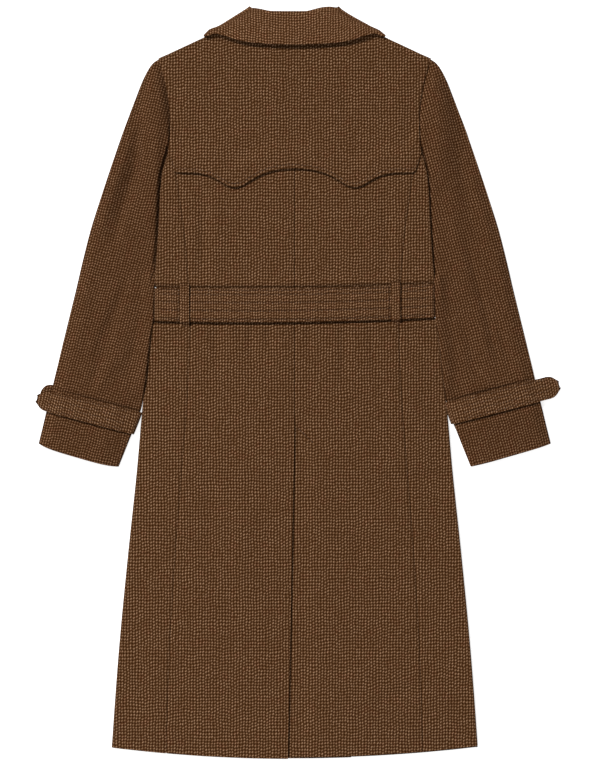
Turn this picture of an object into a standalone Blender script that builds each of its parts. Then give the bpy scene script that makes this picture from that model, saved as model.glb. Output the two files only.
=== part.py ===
"""A belted double-breasted tweed coat, laid flat with its front down: one object for each piece of cloth.

X runs across the coat, Y from the hem to the collar and Z up from the surface that the front lies on.
Shapes are worked out about the centre back seam, and an empty then moves that seam to its place in the whole.
"""

import math
from bisect import bisect_right
from collections import namedtuple

import bmesh
import bpy
from mathutils import Vector

# Thicknesses and gaps, in metres
CLOTH = 0.0020
COLLAR_CLOTH = 0.0022
BELT_THICK = 0.0030
STRAP_THICK = 0.0024
LOOP_THICK = 0.0014
BUTTON_THICK = 0.0042
BUCKLE_THICK = 0.0026
SEAM = 0.0003
LAYER_GAP = 0.0005
FOLD_LIP = 0.0005
FOLD_RADIUS = 0.0042
FOLD_GAP = 0.0008
BELT_GAP = 0.0014
STRAP_GAP = 0.0010
NECK_SEAM = 0.0014

# Place of the centre back seam in the finished part
SEAM_X = -0.0080
SEAM_Y = 0.0004

# Body: one row for each level, from the hem to the armpit
BodyRow = namedtuple("BodyRow", "y side princess crown edge middle")
BODY = (
    BodyRow(-0.565, 0.2750, 0.1930, 0.0094, 0.0062, 0.0043),
    BodyRow(-0.400, 0.2640, 0.1875, 0.0098, 0.0062, 0.0043),
    BodyRow(-0.265, 0.2512, 0.1795, 0.0122, 0.0064, 0.0044),
    BodyRow(-0.130, 0.2370, 0.1690, 0.0140, 0.0066, 0.0046),
    BodyRow(-0.048, 0.2297, 0.1625, 0.0140, 0.0070, 0.0049),
    BodyRow(0.034, 0.2212, 0.1580, 0.0138, 0.0080, 0.0056),
    BodyRow(0.116, 0.2130, 0.1560, 0.0138, 0.0100, 0.0080),
    BodyRow(0.165, 0.2092, 0.1600, 0.0136, 0.0112, 0.0096),
    BodyRow(0.223, 0.2048, 0.1650, 0.0134, 0.0112, 0.0096),
    BodyRow(0.280, 0.2018, 0.1730, 0.0130, 0.0110, 0.0096),
    BodyRow(0.314, 0.1990, 0.1780, 0.0126, 0.0108, 0.0094),
    BodyRow(0.331, 0.1945, 0.1800, 0.0122, 0.0104, 0.0090),
    BodyRow(0.400, 0.1880, 0.1800, 0.0106, 0.0080, 0.0066),
    BodyRow(0.486, 0.2050, 0.1800, 0.0096, 0.0074, 0.0064),
    BodyRow(0.550, 0.0680, 0.0600, 0.0088, 0.0074, 0.0064),
)
HEM_SIDE_RISE = 0.0165
HEM_Y = -0.5650
RIGHT_HEM_RISE = 0.0030

# Armhole, shoulder and neck
ARMPIT_X, ARMPIT_Y = 0.1945, 0.3310
ARMHOLE_LOW_X, ARMHOLE_LOW_Y = 0.1900, 0.3450
SHOULDER_X, SHOULDER_Y = 0.2050, 0.4860
ARMHOLE_HOLLOW = 0.0092
ARMHOLE_CLEAR = 0.0009
NECK_X, NECK_Y = 0.0680, 0.5500
NECK_DROP = 0.0270

# Yoke: lower edge from the middle outwards, with a rounded point on each side
EdgePoint = namedtuple("EdgePoint", "x y")
YOKE_EDGE = (
    EdgePoint(0.000, 0.3205),
    EdgePoint(0.022, 0.3188),
    EdgePoint(0.042, 0.3142),
    EdgePoint(0.063, 0.3043),
    EdgePoint(0.079, 0.2948),
    EdgePoint(0.090, 0.2921),
    EdgePoint(0.100, 0.2945),
    EdgePoint(0.115, 0.3030),
    EdgePoint(0.131, 0.3105),
    EdgePoint(0.150, 0.3140),
    EdgePoint(0.178, 0.3145),
    EdgePoint(0.190, 0.3450),
)
YOKE_LAP = 0.0120
YOKE_LEVEL = 0.0120
YOKE_SLOPE = 0.0240
YOKE_FOLD_START = 0.0080
YOKE_FOLD_END = 0.0200
ARMHOLE_LAP = 0.0100

# Back vent, with the left side over the right
VENT_TOP_Y = -0.0640
VENT_EDGE_SHIFT = 0.0100
VENT_UNDERLAP = 0.0450
VENT_SLOPE_DROP = 0.0360
VENT_LEVEL = 0.0060

# Fronts: the right one laps over the left one and lies lowest
FRONT_EDGE_X = 0.0850
BREAK_Y = 0.3300
FRONT_TOP_Y = 0.5380
LAP_LEVEL = 0.0120

# Belt round the waist
BELT_WIDTH = 0.0490
BELT_HALF = 0.2112
BELT_Y = 0.1150
BELT_TILT = 0.0126
BELT_BOW = 0.0986
WAIST_NIP = 0.0098
NIP_RISE = 0.0040
NIP_LEVEL = 0.0360
NIP_SLOPE = 0.0250
LOOP_X = {"left": -0.1645, "right": 0.1510}
LOOP_WIDTH = 0.0135
LOOP_TAIL = 0.0070
LOOP_STEP = 0.0040
LOOP_CLEAR = 0.0009
BUCKLE_SIZE = (0.0600, 0.0680)
BUCKLE_OPENING = (0.0400, 0.0520)
BUCKLE_CORNER = 0.0060
BUCKLE_LEVEL = 0.0120
BELT_LEVEL_SHARE = 0.80
BELT_LEVEL = 0.0100

# Sleeves: one row for each section from armhole to cuff, outer fold and inner fold
SleeveRow = namedtuple("SleeveRow", "outer_x outer_y inner_x inner_y")
SLEEVE = (
    SleeveRow(0.2060, 0.4860, 0.1740, 0.3300),
    SleeveRow(0.2225, 0.4640, 0.1735, 0.3130),
    SleeveRow(0.2395, 0.4300, 0.1730, 0.2960),
    SleeveRow(0.2580, 0.3830, 0.1730, 0.2770),
    SleeveRow(0.2750, 0.3320, 0.1740, 0.2550),
    SleeveRow(0.2905, 0.2830, 0.1775, 0.2280),
    SleeveRow(0.3065, 0.2300, 0.1890, 0.1970),
    SleeveRow(0.3185, 0.1830, 0.2085, 0.1720),
    SleeveRow(0.3285, 0.1400, 0.2134, 0.1480),
    SleeveRow(0.3395, 0.0950, 0.2190, 0.0660),
    SleeveRow(0.3505, 0.0500, 0.2254, 0.0150),
    SleeveRow(0.3615, 0.0030, 0.2345, -0.0310),
    SleeveRow(0.3730, -0.0440, 0.2480, -0.0780),
    SleeveRow(0.3850, -0.0920, 0.2645, -0.1268),
)
SLEEVE_CREST = 0.0082
SLEEVE_LOW = 0.0056
SLEEVE_TUCK_Y = 0.1600
CAP_TURN_Y = 0.3650
CAP_TURN_SHARE = 0.74
CAP_FADE = 6.0
SLEEVE_RISE = 0.0240
CAP_LEVEL = 0.0080
TUCK_CLEAR = 0.0030
TUCK_LEVEL = 0.0420
TUCK_SLOPE_BELOW = 0.0180
TUCK_LEVEL_ABOVE = 0.0120
TUCK_SLOPE_ABOVE = 0.0240
LEAST_FOLD_ANGLE = 0.35

# Cuff straps, placed by section number along the sleeve
STRAP_START = {"left": 11.30, "right": 11.03}
STRAP_SPAN = 0.69
STRAP_TIP = {"left": 0.0170, "right": 0.0310}
STRAP_POINT = 0.0150
STRAP_END = {"left": -0.0090, "right": 0.0140}
STRAP_END_SHIFT = {"left": 0.17, "right": 0.0}
STRAP_LIFT_MARGIN = 0.35
STRAP_LIFT_END = 0.15
STRAP_LIFT_SLOPE = 0.60
STRAP_TAPER = 0.90
STRAP_SHIFT_LENGTH = 0.0600
STRAP_TIP_DROP = 0.0030

# Collar: the fall's fold line and outer edge, at the middle, at the side crease and at its front end
CollarLine = namedtuple("CollarLine", "middle_y crease_x crease_y end_x end_y height drop")
COLLAR_FOLD = CollarLine(0.5560, 0.0685, 0.5634, 0.0340, 0.5000, 0.0170, 0.0012)
COLLAR_EDGE = CollarLine(0.5055, 0.1330, 0.5262, 0.1120, 0.4550, 0.0182, 0.0030)
STAND_HALF = 0.0600
COLLAR_TURN_END = 0.95
COLLAR_TURN_SLOPE = 0.35

# Lapels on the underside: inner end and outer end of each row, from the lower edge to the notch
LapelRow = namedtuple("LapelRow", "inner_x inner_y outer_x outer_y")
LAPELS = {
    "right": (
        LapelRow(-0.0800, 0.3360, 0.1200, 0.4200),
        LapelRow(0.0310, 0.4930, 0.0950, 0.4560),
    ),
    "left": (
        LapelRow(-0.0500, 0.3900, -0.1200, 0.4200),
        LapelRow(-0.0060, 0.4580, -0.1080, 0.4380),
        LapelRow(-0.0310, 0.4930, -0.0950, 0.4560),
    ),
}

# Buttons in two columns on the outer front
BUTTON_RADIUS = 0.0125
BUTTON_COLUMN = 0.0550
BUTTON_ROWS = (0.2450, -0.0050, -0.1300)
BUTTON_STEPS = 16

# How far the cloth lies level round what is under it, and the slope beyond
LEVEL_ROUND = 0.0230
SLOPE_ROUND = 0.0300
HEM_BLEND = 0.2000
TOP_BLEND = 0.0700

# Where the side fold of a piece starts and how fast, above the armpit and below the shoulder
Fade = namedtuple("Fade", "level slope")
BACK_FADE = Fade(-0.0100, 0.0080)
FRONT_FADE = Fade(-0.1100, 0.0800)
SHOULDER_FADE = Fade(-0.0400, 0.0360)
SHOULDER_FOLD = 0.60
ARMPIT_ZONE = 0.0500

# Steps across a folded edge: a quarter round in thirds, then a short straight strip
ROLL = (1, 2, 3, 4)

TWEED = ("tweed_cloth", (0.108, 0.053, 0.026, 1.0), 0.92, 0.0)
HORN = ("brown_horn", (0.045, 0.022, 0.012, 1.0), 0.38, 0.0)
BUCKLE_SKIN = ("covered_buckle", (0.070, 0.034, 0.018, 1.0), 0.60, 0.0)


def blend(a, b, t):
    return a + (b - a) * t


def ease(t):
    t = min(max(t, 0.0), 1.0)
    return t * t * (3.0 - 2.0 * t)


def spread(distance, level, slope):
    """One out to the level distance, easing to nothing across the slope beyond it."""
    return 1.0 - ease((distance - level) / slope)


def curve_through(places, values):
    """A smooth curve through the rows of a table that doesn't swing past them, level beyond its ends."""
    steps = [b - a for a, b in zip(places, places[1:])]
    rises = [(b - a) / step for a, b, step in zip(values, values[1:], steps)]
    slopes = [rises[0]]
    for before, after in zip(rises, rises[1:]):
        slopes.append(2 * before * after / (before + after) if before * after > 0 else 0.0)
    slopes.append(rises[-1])

    def value(at):
        at = min(max(at, places[0]), places[-1])
        i = min(bisect_right(places, at) - 1, len(steps) - 1)
        t = (at - places[i]) / steps[i]
        near = (1 + 2 * t) * (1 - t) ** 2 * values[i] + t * (1 - t) ** 2 * steps[i] * slopes[i]
        far = t * t * (3 - 2 * t) * values[i + 1] - t * t * (1 - t) * steps[i] * slopes[i + 1]
        return near + far

    return value


def columns_of(table, key):
    """A smooth curve for each other column of a table, along the column named key, or along the row number."""
    rows = [getattr(row, key) for row in table] if key else list(range(len(table)))
    names = [name for name in table[0]._fields if name != key]
    return {name: curve_through(rows, [getattr(row, name) for row in table]) for name in names}


BODY_AT = columns_of(BODY, "y")
YOKE_EDGE_AT = columns_of(YOKE_EDGE, "x")
SLEEVE_AT = columns_of(SLEEVE, None)


# Outline of the body

def belt_middle(x):
    return BELT_Y + BELT_TILT * x + BELT_BOW * x * x


def side_x(y):
    """Half the body's width at its folded side, drawn in a little by the belt."""
    nip = WAIST_NIP * spread(abs(y - BELT_Y - NIP_RISE), NIP_LEVEL, NIP_SLOPE)
    return BODY_AT["side"](y) - nip


def armhole_x(y):
    if y < ARMHOLE_LOW_Y:
        low = (y - ARMPIT_Y) / (ARMHOLE_LOW_Y - ARMPIT_Y)
        return blend(ARMPIT_X, ARMHOLE_LOW_X, low)
    t = (y - ARMHOLE_LOW_Y) / (SHOULDER_Y - ARMHOLE_LOW_Y)
    return blend(ARMHOLE_LOW_X, SHOULDER_X, t) - ARMHOLE_HOLLOW * 4 * t * (1 - t)


def shoulder_slope():
    return (NECK_Y - SHOULDER_Y) / (SHOULDER_X - NECK_X)


def half_width(y):
    """Half the body's width at any level: folded side, armhole, then shoulder line."""
    if y <= ARMPIT_Y:
        return side_x(y)
    if y <= SHOULDER_Y:
        return armhole_x(y)
    return NECK_X + (NECK_Y - y) / shoulder_slope()


def hem_y(x):
    return HEM_Y + HEM_SIDE_RISE * (x / BODY[0].side) ** 2


def body_top_y(x):
    """Neckline in the middle, then the shoulder line."""
    if abs(x) < NECK_X:
        return NECK_Y - NECK_DROP * (1 - (x / NECK_X) ** 2)
    return NECK_Y - shoulder_slope() * (abs(x) - NECK_X)


def yoke_edge_y(x):
    return YOKE_EDGE_AT["y"](abs(x))


# Heights of the layers

def back_under(x, y):
    """Height of the back's lower face: crowned over the fronts, lower at the sides."""
    across = min(abs(x) / half_width(y), 1.0)
    return blend(BODY_AT["crown"](y), BODY_AT["edge"](y), across ** 2)


def back_top(x, y):
    return back_under(x, y) + CLOTH


def outside(corners, x, y):
    """Distance outside a convex outline given anticlockwise."""
    far = -1.0
    for (ax, ay), (bx, by) in zip(corners, corners[1:] + corners[:1]):
        length = math.hypot(bx - ax, by - ay)
        far = max(far, ((x - ax) * (by - ay) - (y - ay) * (bx - ax)) / length)
    return far


def lapel_corners(side):
    rows = LAPELS[side]
    inner = [(row.inner_x, row.inner_y) for row in rows]
    outer = [(row.outer_x, row.outer_y) for row in rows]
    ring = outer + inner[::-1]
    return ring if side == "right" else ring[::-1]


def collar_corners(side):
    """Outline of the collar's front end on the underside."""
    sign = 1 if side == "right" else -1
    ring = [
        (COLLAR_FOLD.end_x, COLLAR_FOLD.end_y),
        (COLLAR_EDGE.end_x, COLLAR_EDGE.end_y),
        (COLLAR_EDGE.crease_x, COLLAR_EDGE.crease_y),
        (COLLAR_FOLD.crease_x, COLLAR_FOLD.crease_y),
    ]
    ring = [(sign * x, y) for x, y in ring]
    return ring if side == "right" else ring[::-1]


def belt_floor(x):
    """Height of the belt's front stretch, which passes over the buckle."""
    return (BUCKLE_THICK + LAYER_GAP) * spread(abs(x), BUCKLE_SIZE[0] / 2 + BUCKLE_LEVEL, SLOPE_ROUND)


def sleeve_inner_x(y):
    """Inner fold of the sleeve where it is tucked under the body."""
    rows = sorted((row.inner_y, row.inner_x) for row in SLEEVE[:9])
    return curve_through([row[0] for row in rows], [row[1] for row in rows])(y)


def side_lift(x, y):
    """Lift of a front over the tucked sleeve, from the belt to the armpit."""
    across = spread(sleeve_inner_x(y) - abs(x), TUCK_LEVEL, SLOPE_ROUND)
    below = spread(SLEEVE_TUCK_Y - y, 0.0, TUCK_SLOPE_BELOW)
    above = spread(y - CAP_TURN_Y, TUCK_LEVEL_ABOVE, TUCK_SLOPE_ABOVE)
    return (SLEEVE_LOW + LAYER_GAP) * across * min(below, above)


def front_rest(x, y):
    """Lower face of either front over the belt, the tucked sleeve and the collar."""
    off_belt = abs(y - belt_middle(x)) - BELT_WIDTH / 2
    over_belt = (belt_floor(x) + BELT_THICK + 2 * LAYER_GAP) * spread(off_belt, BELT_LEVEL, SLOPE_ROUND)
    side = "right" if x > 0 else "left"
    off_collar = outside(collar_corners(side), x, y)
    over_collar = (COLLAR_CLOTH + LAYER_GAP) * spread(off_collar, LEVEL_ROUND, SLOPE_ROUND)
    return max(over_belt, side_lift(x, y), over_collar)


def outer_front(x, y):
    """Lower face of the right front, which also lies over its lapel and the buttons."""
    off_lapel = outside(lapel_corners("right"), x, y)
    lifts = [front_rest(x, y), (CLOTH + LAYER_GAP) * spread(off_lapel, LEVEL_ROUND, SLOPE_ROUND)]
    for row in BUTTON_ROWS:
        off_button = math.hypot(abs(x) - BUTTON_COLUMN, y - row)
        lifts.append((BUTTON_THICK + LAYER_GAP) * spread(off_button, LEVEL_ROUND, SLOPE_ROUND))
    return max(lifts)


def front_edge_x(y):
    """Right front's inner edge: straight to the break, then along the lapel's roll line to the neck."""
    if y < BREAK_Y:
        return -FRONT_EDGE_X
    return blend(-FRONT_EDGE_X, NECK_X, (y - BREAK_Y) / (NECK_Y - BREAK_Y))


def inner_front(x, y):
    """Lower face of the left front, which lies over its lapel and on the right front where they lap."""
    off_lapel = outside(lapel_corners("left"), x, y)
    over_lapel = (CLOTH + LAYER_GAP) * spread(off_lapel, LEVEL_ROUND, SLOPE_ROUND)
    lapped = spread(front_edge_x(y) - x, LAP_LEVEL, SLOPE_ROUND)
    over_right = (outer_front(x, y) + CLOTH + 4 * LAYER_GAP) * lapped
    return max(front_rest(x, y), over_lapel, over_right)


# Building of cloth

def material(recipe):
    name, colour, roughness, metallic = recipe
    made = bpy.data.materials.get(name)
    if made:
        return made
    made = bpy.data.materials.new(name)
    made.use_nodes = True
    shader = made.node_tree.nodes["Principled BSDF"]
    shader.inputs["Base Color"].default_value = colour
    shader.inputs["Roughness"].default_value = roughness
    shader.inputs["Metallic"].default_value = metallic
    made.diffuse_color = colour
    return made


def add_object(name, data, recipe):
    made = bpy.data.objects.new(name, data)
    data.materials.append(material(recipe))
    parts.objects.link(made)
    made.parent = coat
    return made


def sheet(name, across, along, place, thickness, inward=-1, tube=False, recipe=TWEED):
    """A grid whose points are placed by a function of the two stations, thickened into a wall of cloth."""
    mesh = bpy.data.meshes.new(name)
    grid = bmesh.new()
    columns, rows = len(across) - 1, len(along) - 1
    bmesh.ops.create_grid(grid, x_segments=columns, y_segments=rows, size=0.5)
    for vert in grid.verts:
        i = round((vert.co.x + 0.5) * columns)
        j = round((vert.co.y + 0.5) * rows)
        vert.co = place(across[i], along[j])
    if tube:
        bmesh.ops.remove_doubles(grid, verts=grid.verts, dist=0.00001)
    grid.to_mesh(mesh)
    grid.free()
    mesh.shade_smooth()
    mesh.set_sharp_from_angle(angle=math.radians(40))
    made = add_object(name, mesh, recipe)
    wall = made.modifiers.new("wall", "SOLIDIFY")
    wall.thickness = thickness
    wall.offset = inward
    return made


def rolled(step, face, middle, radius, strength):
    """Inset from an edge and height there: a fold turns in to the middle height, a cut edge stays level."""
    sign = 1 if face > middle else -1
    lip = middle + sign * (FOLD_GAP / 2 + FOLD_LIP)
    angle = min(step / 3, 1.0) * math.pi / 2
    inset = min(radius, abs(face - lip)) * (1 - math.sin(angle))
    height = lip + (face - lip) * math.cos(angle)
    if step == ROLL[-1]:
        inset, height = 0.0, middle + sign * FOLD_GAP / 2
    level_inset = radius * (1 - step / ROLL[-1])
    return blend(level_inset, inset, strength), blend(face, height, strength)


def back_strength(y):
    """How far the back's edge is a fold: wholly on the side, not at all at the armhole."""
    return spread(y - ARMPIT_Y, *BACK_FADE)


def front_strength(y):
    """How far the front's edge is a fold: it flattens before the armhole and turns in again at the shoulder."""
    return max(spread(y - ARMPIT_Y, *FRONT_FADE), SHOULDER_FOLD * spread(SHOULDER_Y - y, *SHOULDER_FADE))


def edge_slant(y):
    """Width across a panel for each unit square to its edge, which slants along the shoulder."""
    return math.hypot(1.0, shoulder_slope()) / shoulder_slope() if y > SHOULDER_Y else 1.0


def folded_side(u, inner, y, face, strength):
    """Place and height across a panel from its inner edge to the folded side: u above 1 is in the fold."""
    edge = half_width(y) - (SEAM if ARMPIT_Y < y < SHOULDER_Y else 0.0)
    level = edge - FOLD_RADIUS * edge_slant(y)
    if u <= 1:
        x = blend(inner, level, u)
        return x, face(x, y)
    inset, height = rolled(u - 1, face(level, y), BODY_AT["middle"](y), FOLD_RADIUS, strength(y))
    return edge - inset * edge_slant(y), height


# Pieces of the back

def shaped_y(level, x, low, high, top):
    """Level of a row that follows the hem at the bottom and the lapped yoke edge at the top."""
    to_hem = (hem_y(x) - low) * spread(level - low, 0.0, HEM_BLEND)
    to_top = (top(x) - high) * spread(high - level, 0.0, TOP_BLEND)
    return level + to_hem + to_top


def lapped_top(x):
    return min(yoke_edge_y(x) + YOKE_LAP, ARMHOLE_LOW_Y + ARMHOLE_LAP)


BACK_TOP_Y = 0.3240
SHARED_LEVELS = (
    HEM_Y, -0.470, -0.380, -0.290, -0.210, -0.170, -0.146, -0.114, -0.085, VENT_TOP_Y, -0.021, 0.011,
    0.040, 0.070, 0.095, 0.120, 0.145, 0.170, 0.200, 0.229, 0.255,
)
BACK_LEVELS = SHARED_LEVELS + (0.278, 0.302, BACK_TOP_Y)


def vent_edge(side, y):
    """Inner edge of a centre back panel: the seam, then the vent's lap below it."""
    if y >= VENT_TOP_Y:
        return -SEAM / 2 if side == "left" else SEAM / 2
    down = (VENT_TOP_Y - y) / (VENT_TOP_Y - HEM_Y)
    if side == "left":
        return -SEAM / 2 - VENT_EDGE_SHIFT * down
    return SEAM / 2 - VENT_UNDERLAP * min((VENT_TOP_Y - y) / VENT_SLOPE_DROP, 1.0)


def under_vent(x, y):
    """Drop of the right panel where it passes under the left one."""
    drop = (CLOTH + LAYER_GAP) * spread(x, VENT_LEVEL, SLOPE_ROUND)
    return drop * spread(y - VENT_TOP_Y, 0.0, SLOPE_ROUND)


def centre_back(side):
    sign = -1 if side == "left" else 1

    def place(u, level):
        x = blend(vent_edge(side, level), sign * (BODY_AT["princess"](level) - SEAM / 2), u)
        y = shaped_y(level, x, HEM_Y, BACK_TOP_Y, lapped_top)
        z = back_top(x, y)
        if side == "right":
            y += RIGHT_HEM_RISE * spread(level - HEM_Y, 0.0, HEM_BLEND)
            z -= under_vent(x, y)
        return Vector((x, y, z))

    across = (0.0, 0.10, 0.22, 0.31, 0.42, 0.56, 0.70, 0.85, 1.0)
    return sheet(f"back_{side}", across[::sign], BACK_LEVELS, place, CLOTH)


def side_back(side):
    sign = -1 if side == "left" else 1

    def place(u, level):
        inner = BODY_AT["princess"](level) + SEAM / 2
        x, _ = folded_side(u, inner, level, back_top, back_strength)
        y = shaped_y(level, x, HEM_Y, BACK_TOP_Y, lapped_top)
        at_y = y if level > ARMPIT_Y - ARMPIT_ZONE else level
        x, z = folded_side(u, inner, at_y, back_top, back_strength)
        if side == "right":
            y += RIGHT_HEM_RISE * spread(level - HEM_Y, 0.0, HEM_BLEND)
        return Vector((sign * x, y, z))

    across = (0.0, 0.35, 0.70, 1.0) + tuple(1 + turn for turn in ROLL)
    return sheet(f"side_back_{side}", across[::sign], BACK_LEVELS, place, CLOTH)


def yoke_lift(x, y):
    """Lift of the yoke where it laps over the tops of the back panels."""
    over_edge = y - yoke_edge_y(x)
    return (CLOTH + 2 * LAYER_GAP) * spread(over_edge, YOKE_LAP + YOKE_LEVEL, YOKE_SLOPE)


def yoke():
    def place(c, v):
        low_x = c * (ARMHOLE_LOW_X - SEAM)
        top_x = c * (SHOULDER_X - SEAM)
        low_y, top_y = yoke_edge_y(low_x), body_top_y(top_x) - SEAM
        y = blend(low_y, top_y - FOLD_RADIUS, min(v, 1.0))
        height = None
        if v > 1:
            face = back_top(top_x, top_y - FOLD_RADIUS)
            folded = ease((abs(top_x) - NECK_X) / YOKE_FOLD_START)
            folded *= spread(abs(top_x) - SHOULDER_X, -YOKE_FOLD_END, YOKE_FOLD_END)
            inset, height = rolled(v - 1, face, BODY_AT["middle"](top_y), FOLD_RADIUS, folded)
            y = top_y - inset
        t = (y - low_y) / (top_y - low_y)
        x = blend(low_x, top_x, t) - ARMHOLE_HOLLOW * 4 * t * (1 - t) * c * abs(c) ** 3
        if height is None:
            height = back_top(x, y) + yoke_lift(x, y)
        return Vector((x, y, height))

    half = (0.0, 0.115, 0.22, 0.33, 0.415, 0.474, 0.525, 0.605, 0.69, 0.79, 0.937, 1.0)
    across = tuple(-c for c in half[:0:-1]) + half
    along = (0.0, 0.06, 0.13, 0.22, 0.36, 0.55, 0.78, 1.0) + tuple(1 + turn for turn in ROLL)
    return sheet("back_yoke", across, along, place, CLOTH)


# Fronts, lapels and buttons on the underside

FRONT_COLUMNS = (-0.0850, -0.0710, -0.0390, -0.0150, 0.0150, 0.0390, 0.0710, 0.0850)
FRONT_LEVELS = SHARED_LEVELS + (
    0.280, 0.306, 0.331, 0.350, 0.375, 0.400, 0.425, 0.450, 0.470, SHOULDER_Y, 0.512, FRONT_TOP_Y,
)


def front(side):
    sign = -1 if side == "left" else 1
    height = inner_front if side == "left" else outer_front
    fixed = len(FRONT_COLUMNS)
    outer_fractions = (0.35, 0.70, 1.0)

    def place(k, level):
        edge_x = front_edge_x(level)
        outer = half_width(level) - FOLD_RADIUS * edge_slant(level)
        reach = half_width(BREAK_Y) - FOLD_RADIUS
        squeeze = 1.0 if level <= BREAK_Y else (outer - edge_x) / (reach + FRONT_EDGE_X)
        column = FRONT_COLUMNS[min(int(k), fixed - 1)]
        x = edge_x + (column + FRONT_EDGE_X) * squeeze
        turn = 1.0
        if k >= fixed:
            step = k - fixed
            if step < len(outer_fractions):
                x = blend(x, outer, outer_fractions[int(step)])
            else:
                x = outer
                turn = 1 + ROLL[int(step) - len(outer_fractions)]
        if turn > 1:
            x, z = folded_side(turn, 0.0, level, lambda at, y: height(sign * at, y), front_strength)
        else:
            z = height(sign * x, level)
        y = level + (hem_y(x) - HEM_Y) * spread(level - HEM_Y, 0.0, HEM_BLEND)
        return Vector((sign * x, y, z))

    across = tuple(range(fixed + len(outer_fractions) + len(ROLL)))
    return sheet(f"front_{side}", across[::sign], FRONT_LEVELS, place, CLOTH, inward=1)


def lapel(side):
    sign = -1 if side == "left" else 1
    table = columns_of(LAPELS[side], None)

    def place(u, row):
        x = blend(table["inner_x"](row), table["outer_x"](row), u)
        y = blend(table["inner_y"](row), table["outer_y"](row), u)
        return Vector((x, y, 0.0))

    across = (0.0, 0.25, 0.5, 0.75, 1.0)
    rows = len(LAPELS[side]) - 1
    along = tuple(rows * step / 4 for step in range(5))
    return sheet(f"lapel_{side}", across[::sign], along, place, CLOTH, inward=1)


def button(number, x, y):
    """Turned button with a raised rim, its face on the surface."""
    profile = (
        (0.00, 1.00), (0.84, 1.00), (1.00, 0.70), (1.00, 0.30),
        (0.92, 0.00), (0.80, 0.00), (0.70, 0.28), (0.00, 0.28),
    )
    mesh = bpy.data.meshes.new(f"button_{number}")
    points = [(BUTTON_RADIUS * across, 0.0, BUTTON_THICK * up) for across, up in profile]
    edges = [(i, i + 1) for i in range(len(points) - 1)]
    mesh.from_pydata(points, edges, [])
    made = add_object(f"button_{number}", mesh, HORN)
    made.location = (x, y, 0.0)
    turning = made.modifiers.new("turning", "SCREW")
    turning.steps = turning.render_steps = BUTTON_STEPS
    turning.use_merge_vertices = True
    turning.merge_threshold = 0.00005
    turning.use_smooth_shade = True
    return made


# Belt, loops and buckle

def belt():
    top_runs = (-1.0, -0.80, -0.62, -0.45, -0.30, -0.15, 0.0, 0.15, 0.30, 0.45, 0.62, 0.80, 1.0)
    low_runs = (1.0, 0.75, 0.50, 0.36, 0.26, 0.18, 0.0, -0.18, -0.26, -0.36, -0.50, -0.75, -1.0)
    turns = (60, 30, 0, -30, -60)
    around = [("top", f) for f in top_runs] + [("turn", t) for t in turns]
    around += [("low", f) for f in low_runs] + [("turn", -180 - t) for t in turns[::-1]]
    around.append(around[0])

    def place(station, v):
        kind, at = station
        offset = (v - 0.5) * BELT_WIDTH
        edge_z = back_top(side_x(BELT_Y), BELT_Y) + BELT_GAP + BELT_THICK
        radius = edge_z / 2
        run = BELT_HALF - radius
        if kind == "turn":
            angle = math.radians(at)
            end = run if abs(at) < 90 else -run
            x = end + radius * math.cos(angle)
            return Vector((x, belt_middle(x) + offset, radius + radius * math.sin(angle)))
        x = at * run
        y = belt_middle(x) + offset
        if kind == "low":
            return Vector((x, y, belt_floor(x)))
        top = back_top(x, belt_middle(x)) + BELT_GAP + BELT_THICK
        return Vector((x, y, blend(top, edge_z, ease((abs(at) - BELT_LEVEL_SHARE) / (1 - BELT_LEVEL_SHARE)))))

    return sheet("belt", around, (0.0, 0.5, 1.0), place, BELT_THICK, tube=True)


def belt_loop(side):
    middle_x = LOOP_X[side]
    half = BELT_WIDTH / 2
    low, high = LAYER_GAP + LOOP_THICK, BELT_GAP + BELT_THICK + 2 * LAYER_GAP + LOOP_THICK
    path = (
        (-half - LOOP_TAIL, low), (-half - LOOP_STEP, low), (-half - LOOP_CLEAR, high), (-half * 0.5, high),
        (half * 0.5, high), (half + LOOP_CLEAR, high), (half + LOOP_STEP, low), (half + LOOP_TAIL, low),
    )

    def place(u, station):
        offset, lift = station
        x = middle_x + u * LOOP_WIDTH
        middle = belt_middle(middle_x)
        return Vector((x, middle + offset, back_top(middle_x, middle + offset) + lift))

    return sheet(f"belt_loop_{side}", (-0.5, 0.0, 0.5), path, place, LOOP_THICK)


def rounded_frame(width, height, corner, steps=4):
    points = []
    for quarter in range(4):
        sign_x = 1 if quarter in (0, 3) else -1
        sign_y = 1 if quarter < 2 else -1
        for step in range(steps + 1):
            angle = math.pi / 2 * (quarter + step / steps)
            x = sign_x * (width / 2 - corner) + corner * math.cos(angle)
            y = sign_y * (height / 2 - corner) + corner * math.sin(angle)
            points.append((x, y))
    return points


def buckle():
    """Plain frame that lies on the outer face of the belt, under the middle of the front."""
    outline = bpy.data.curves.new("buckle", "CURVE")
    outline.dimensions = "2D"
    outline.fill_mode = "BOTH"
    outline.extrude = BUCKLE_THICK / 2
    for size, corner in ((BUCKLE_SIZE, BUCKLE_CORNER), (BUCKLE_OPENING, BUCKLE_CORNER / 2)):
        points = rounded_frame(size[0], size[1], corner)
        line = outline.splines.new("POLY")
        line.points.add(len(points) - 1)
        for point, (x, y) in zip(line.points, points):
            point.co = (x, y, 0.0, 1.0)
        line.use_cyclic_u = True
    made = add_object("buckle", outline, BUCKLE_SKIN)
    made.location = (0.0, BELT_Y, BUCKLE_THICK / 2)
    return made


# Sleeves and cuff straps

def strap_band(side, v):
    """One where the cuff strap passes under the sleeve, easing to nothing along the sleeve."""
    start = STRAP_START[side]
    off = max(start - STRAP_LIFT_MARGIN - v, v - start - STRAP_SPAN - STRAP_LIFT_END)
    return spread(off, 0.0, STRAP_LIFT_SLOPE)


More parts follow.
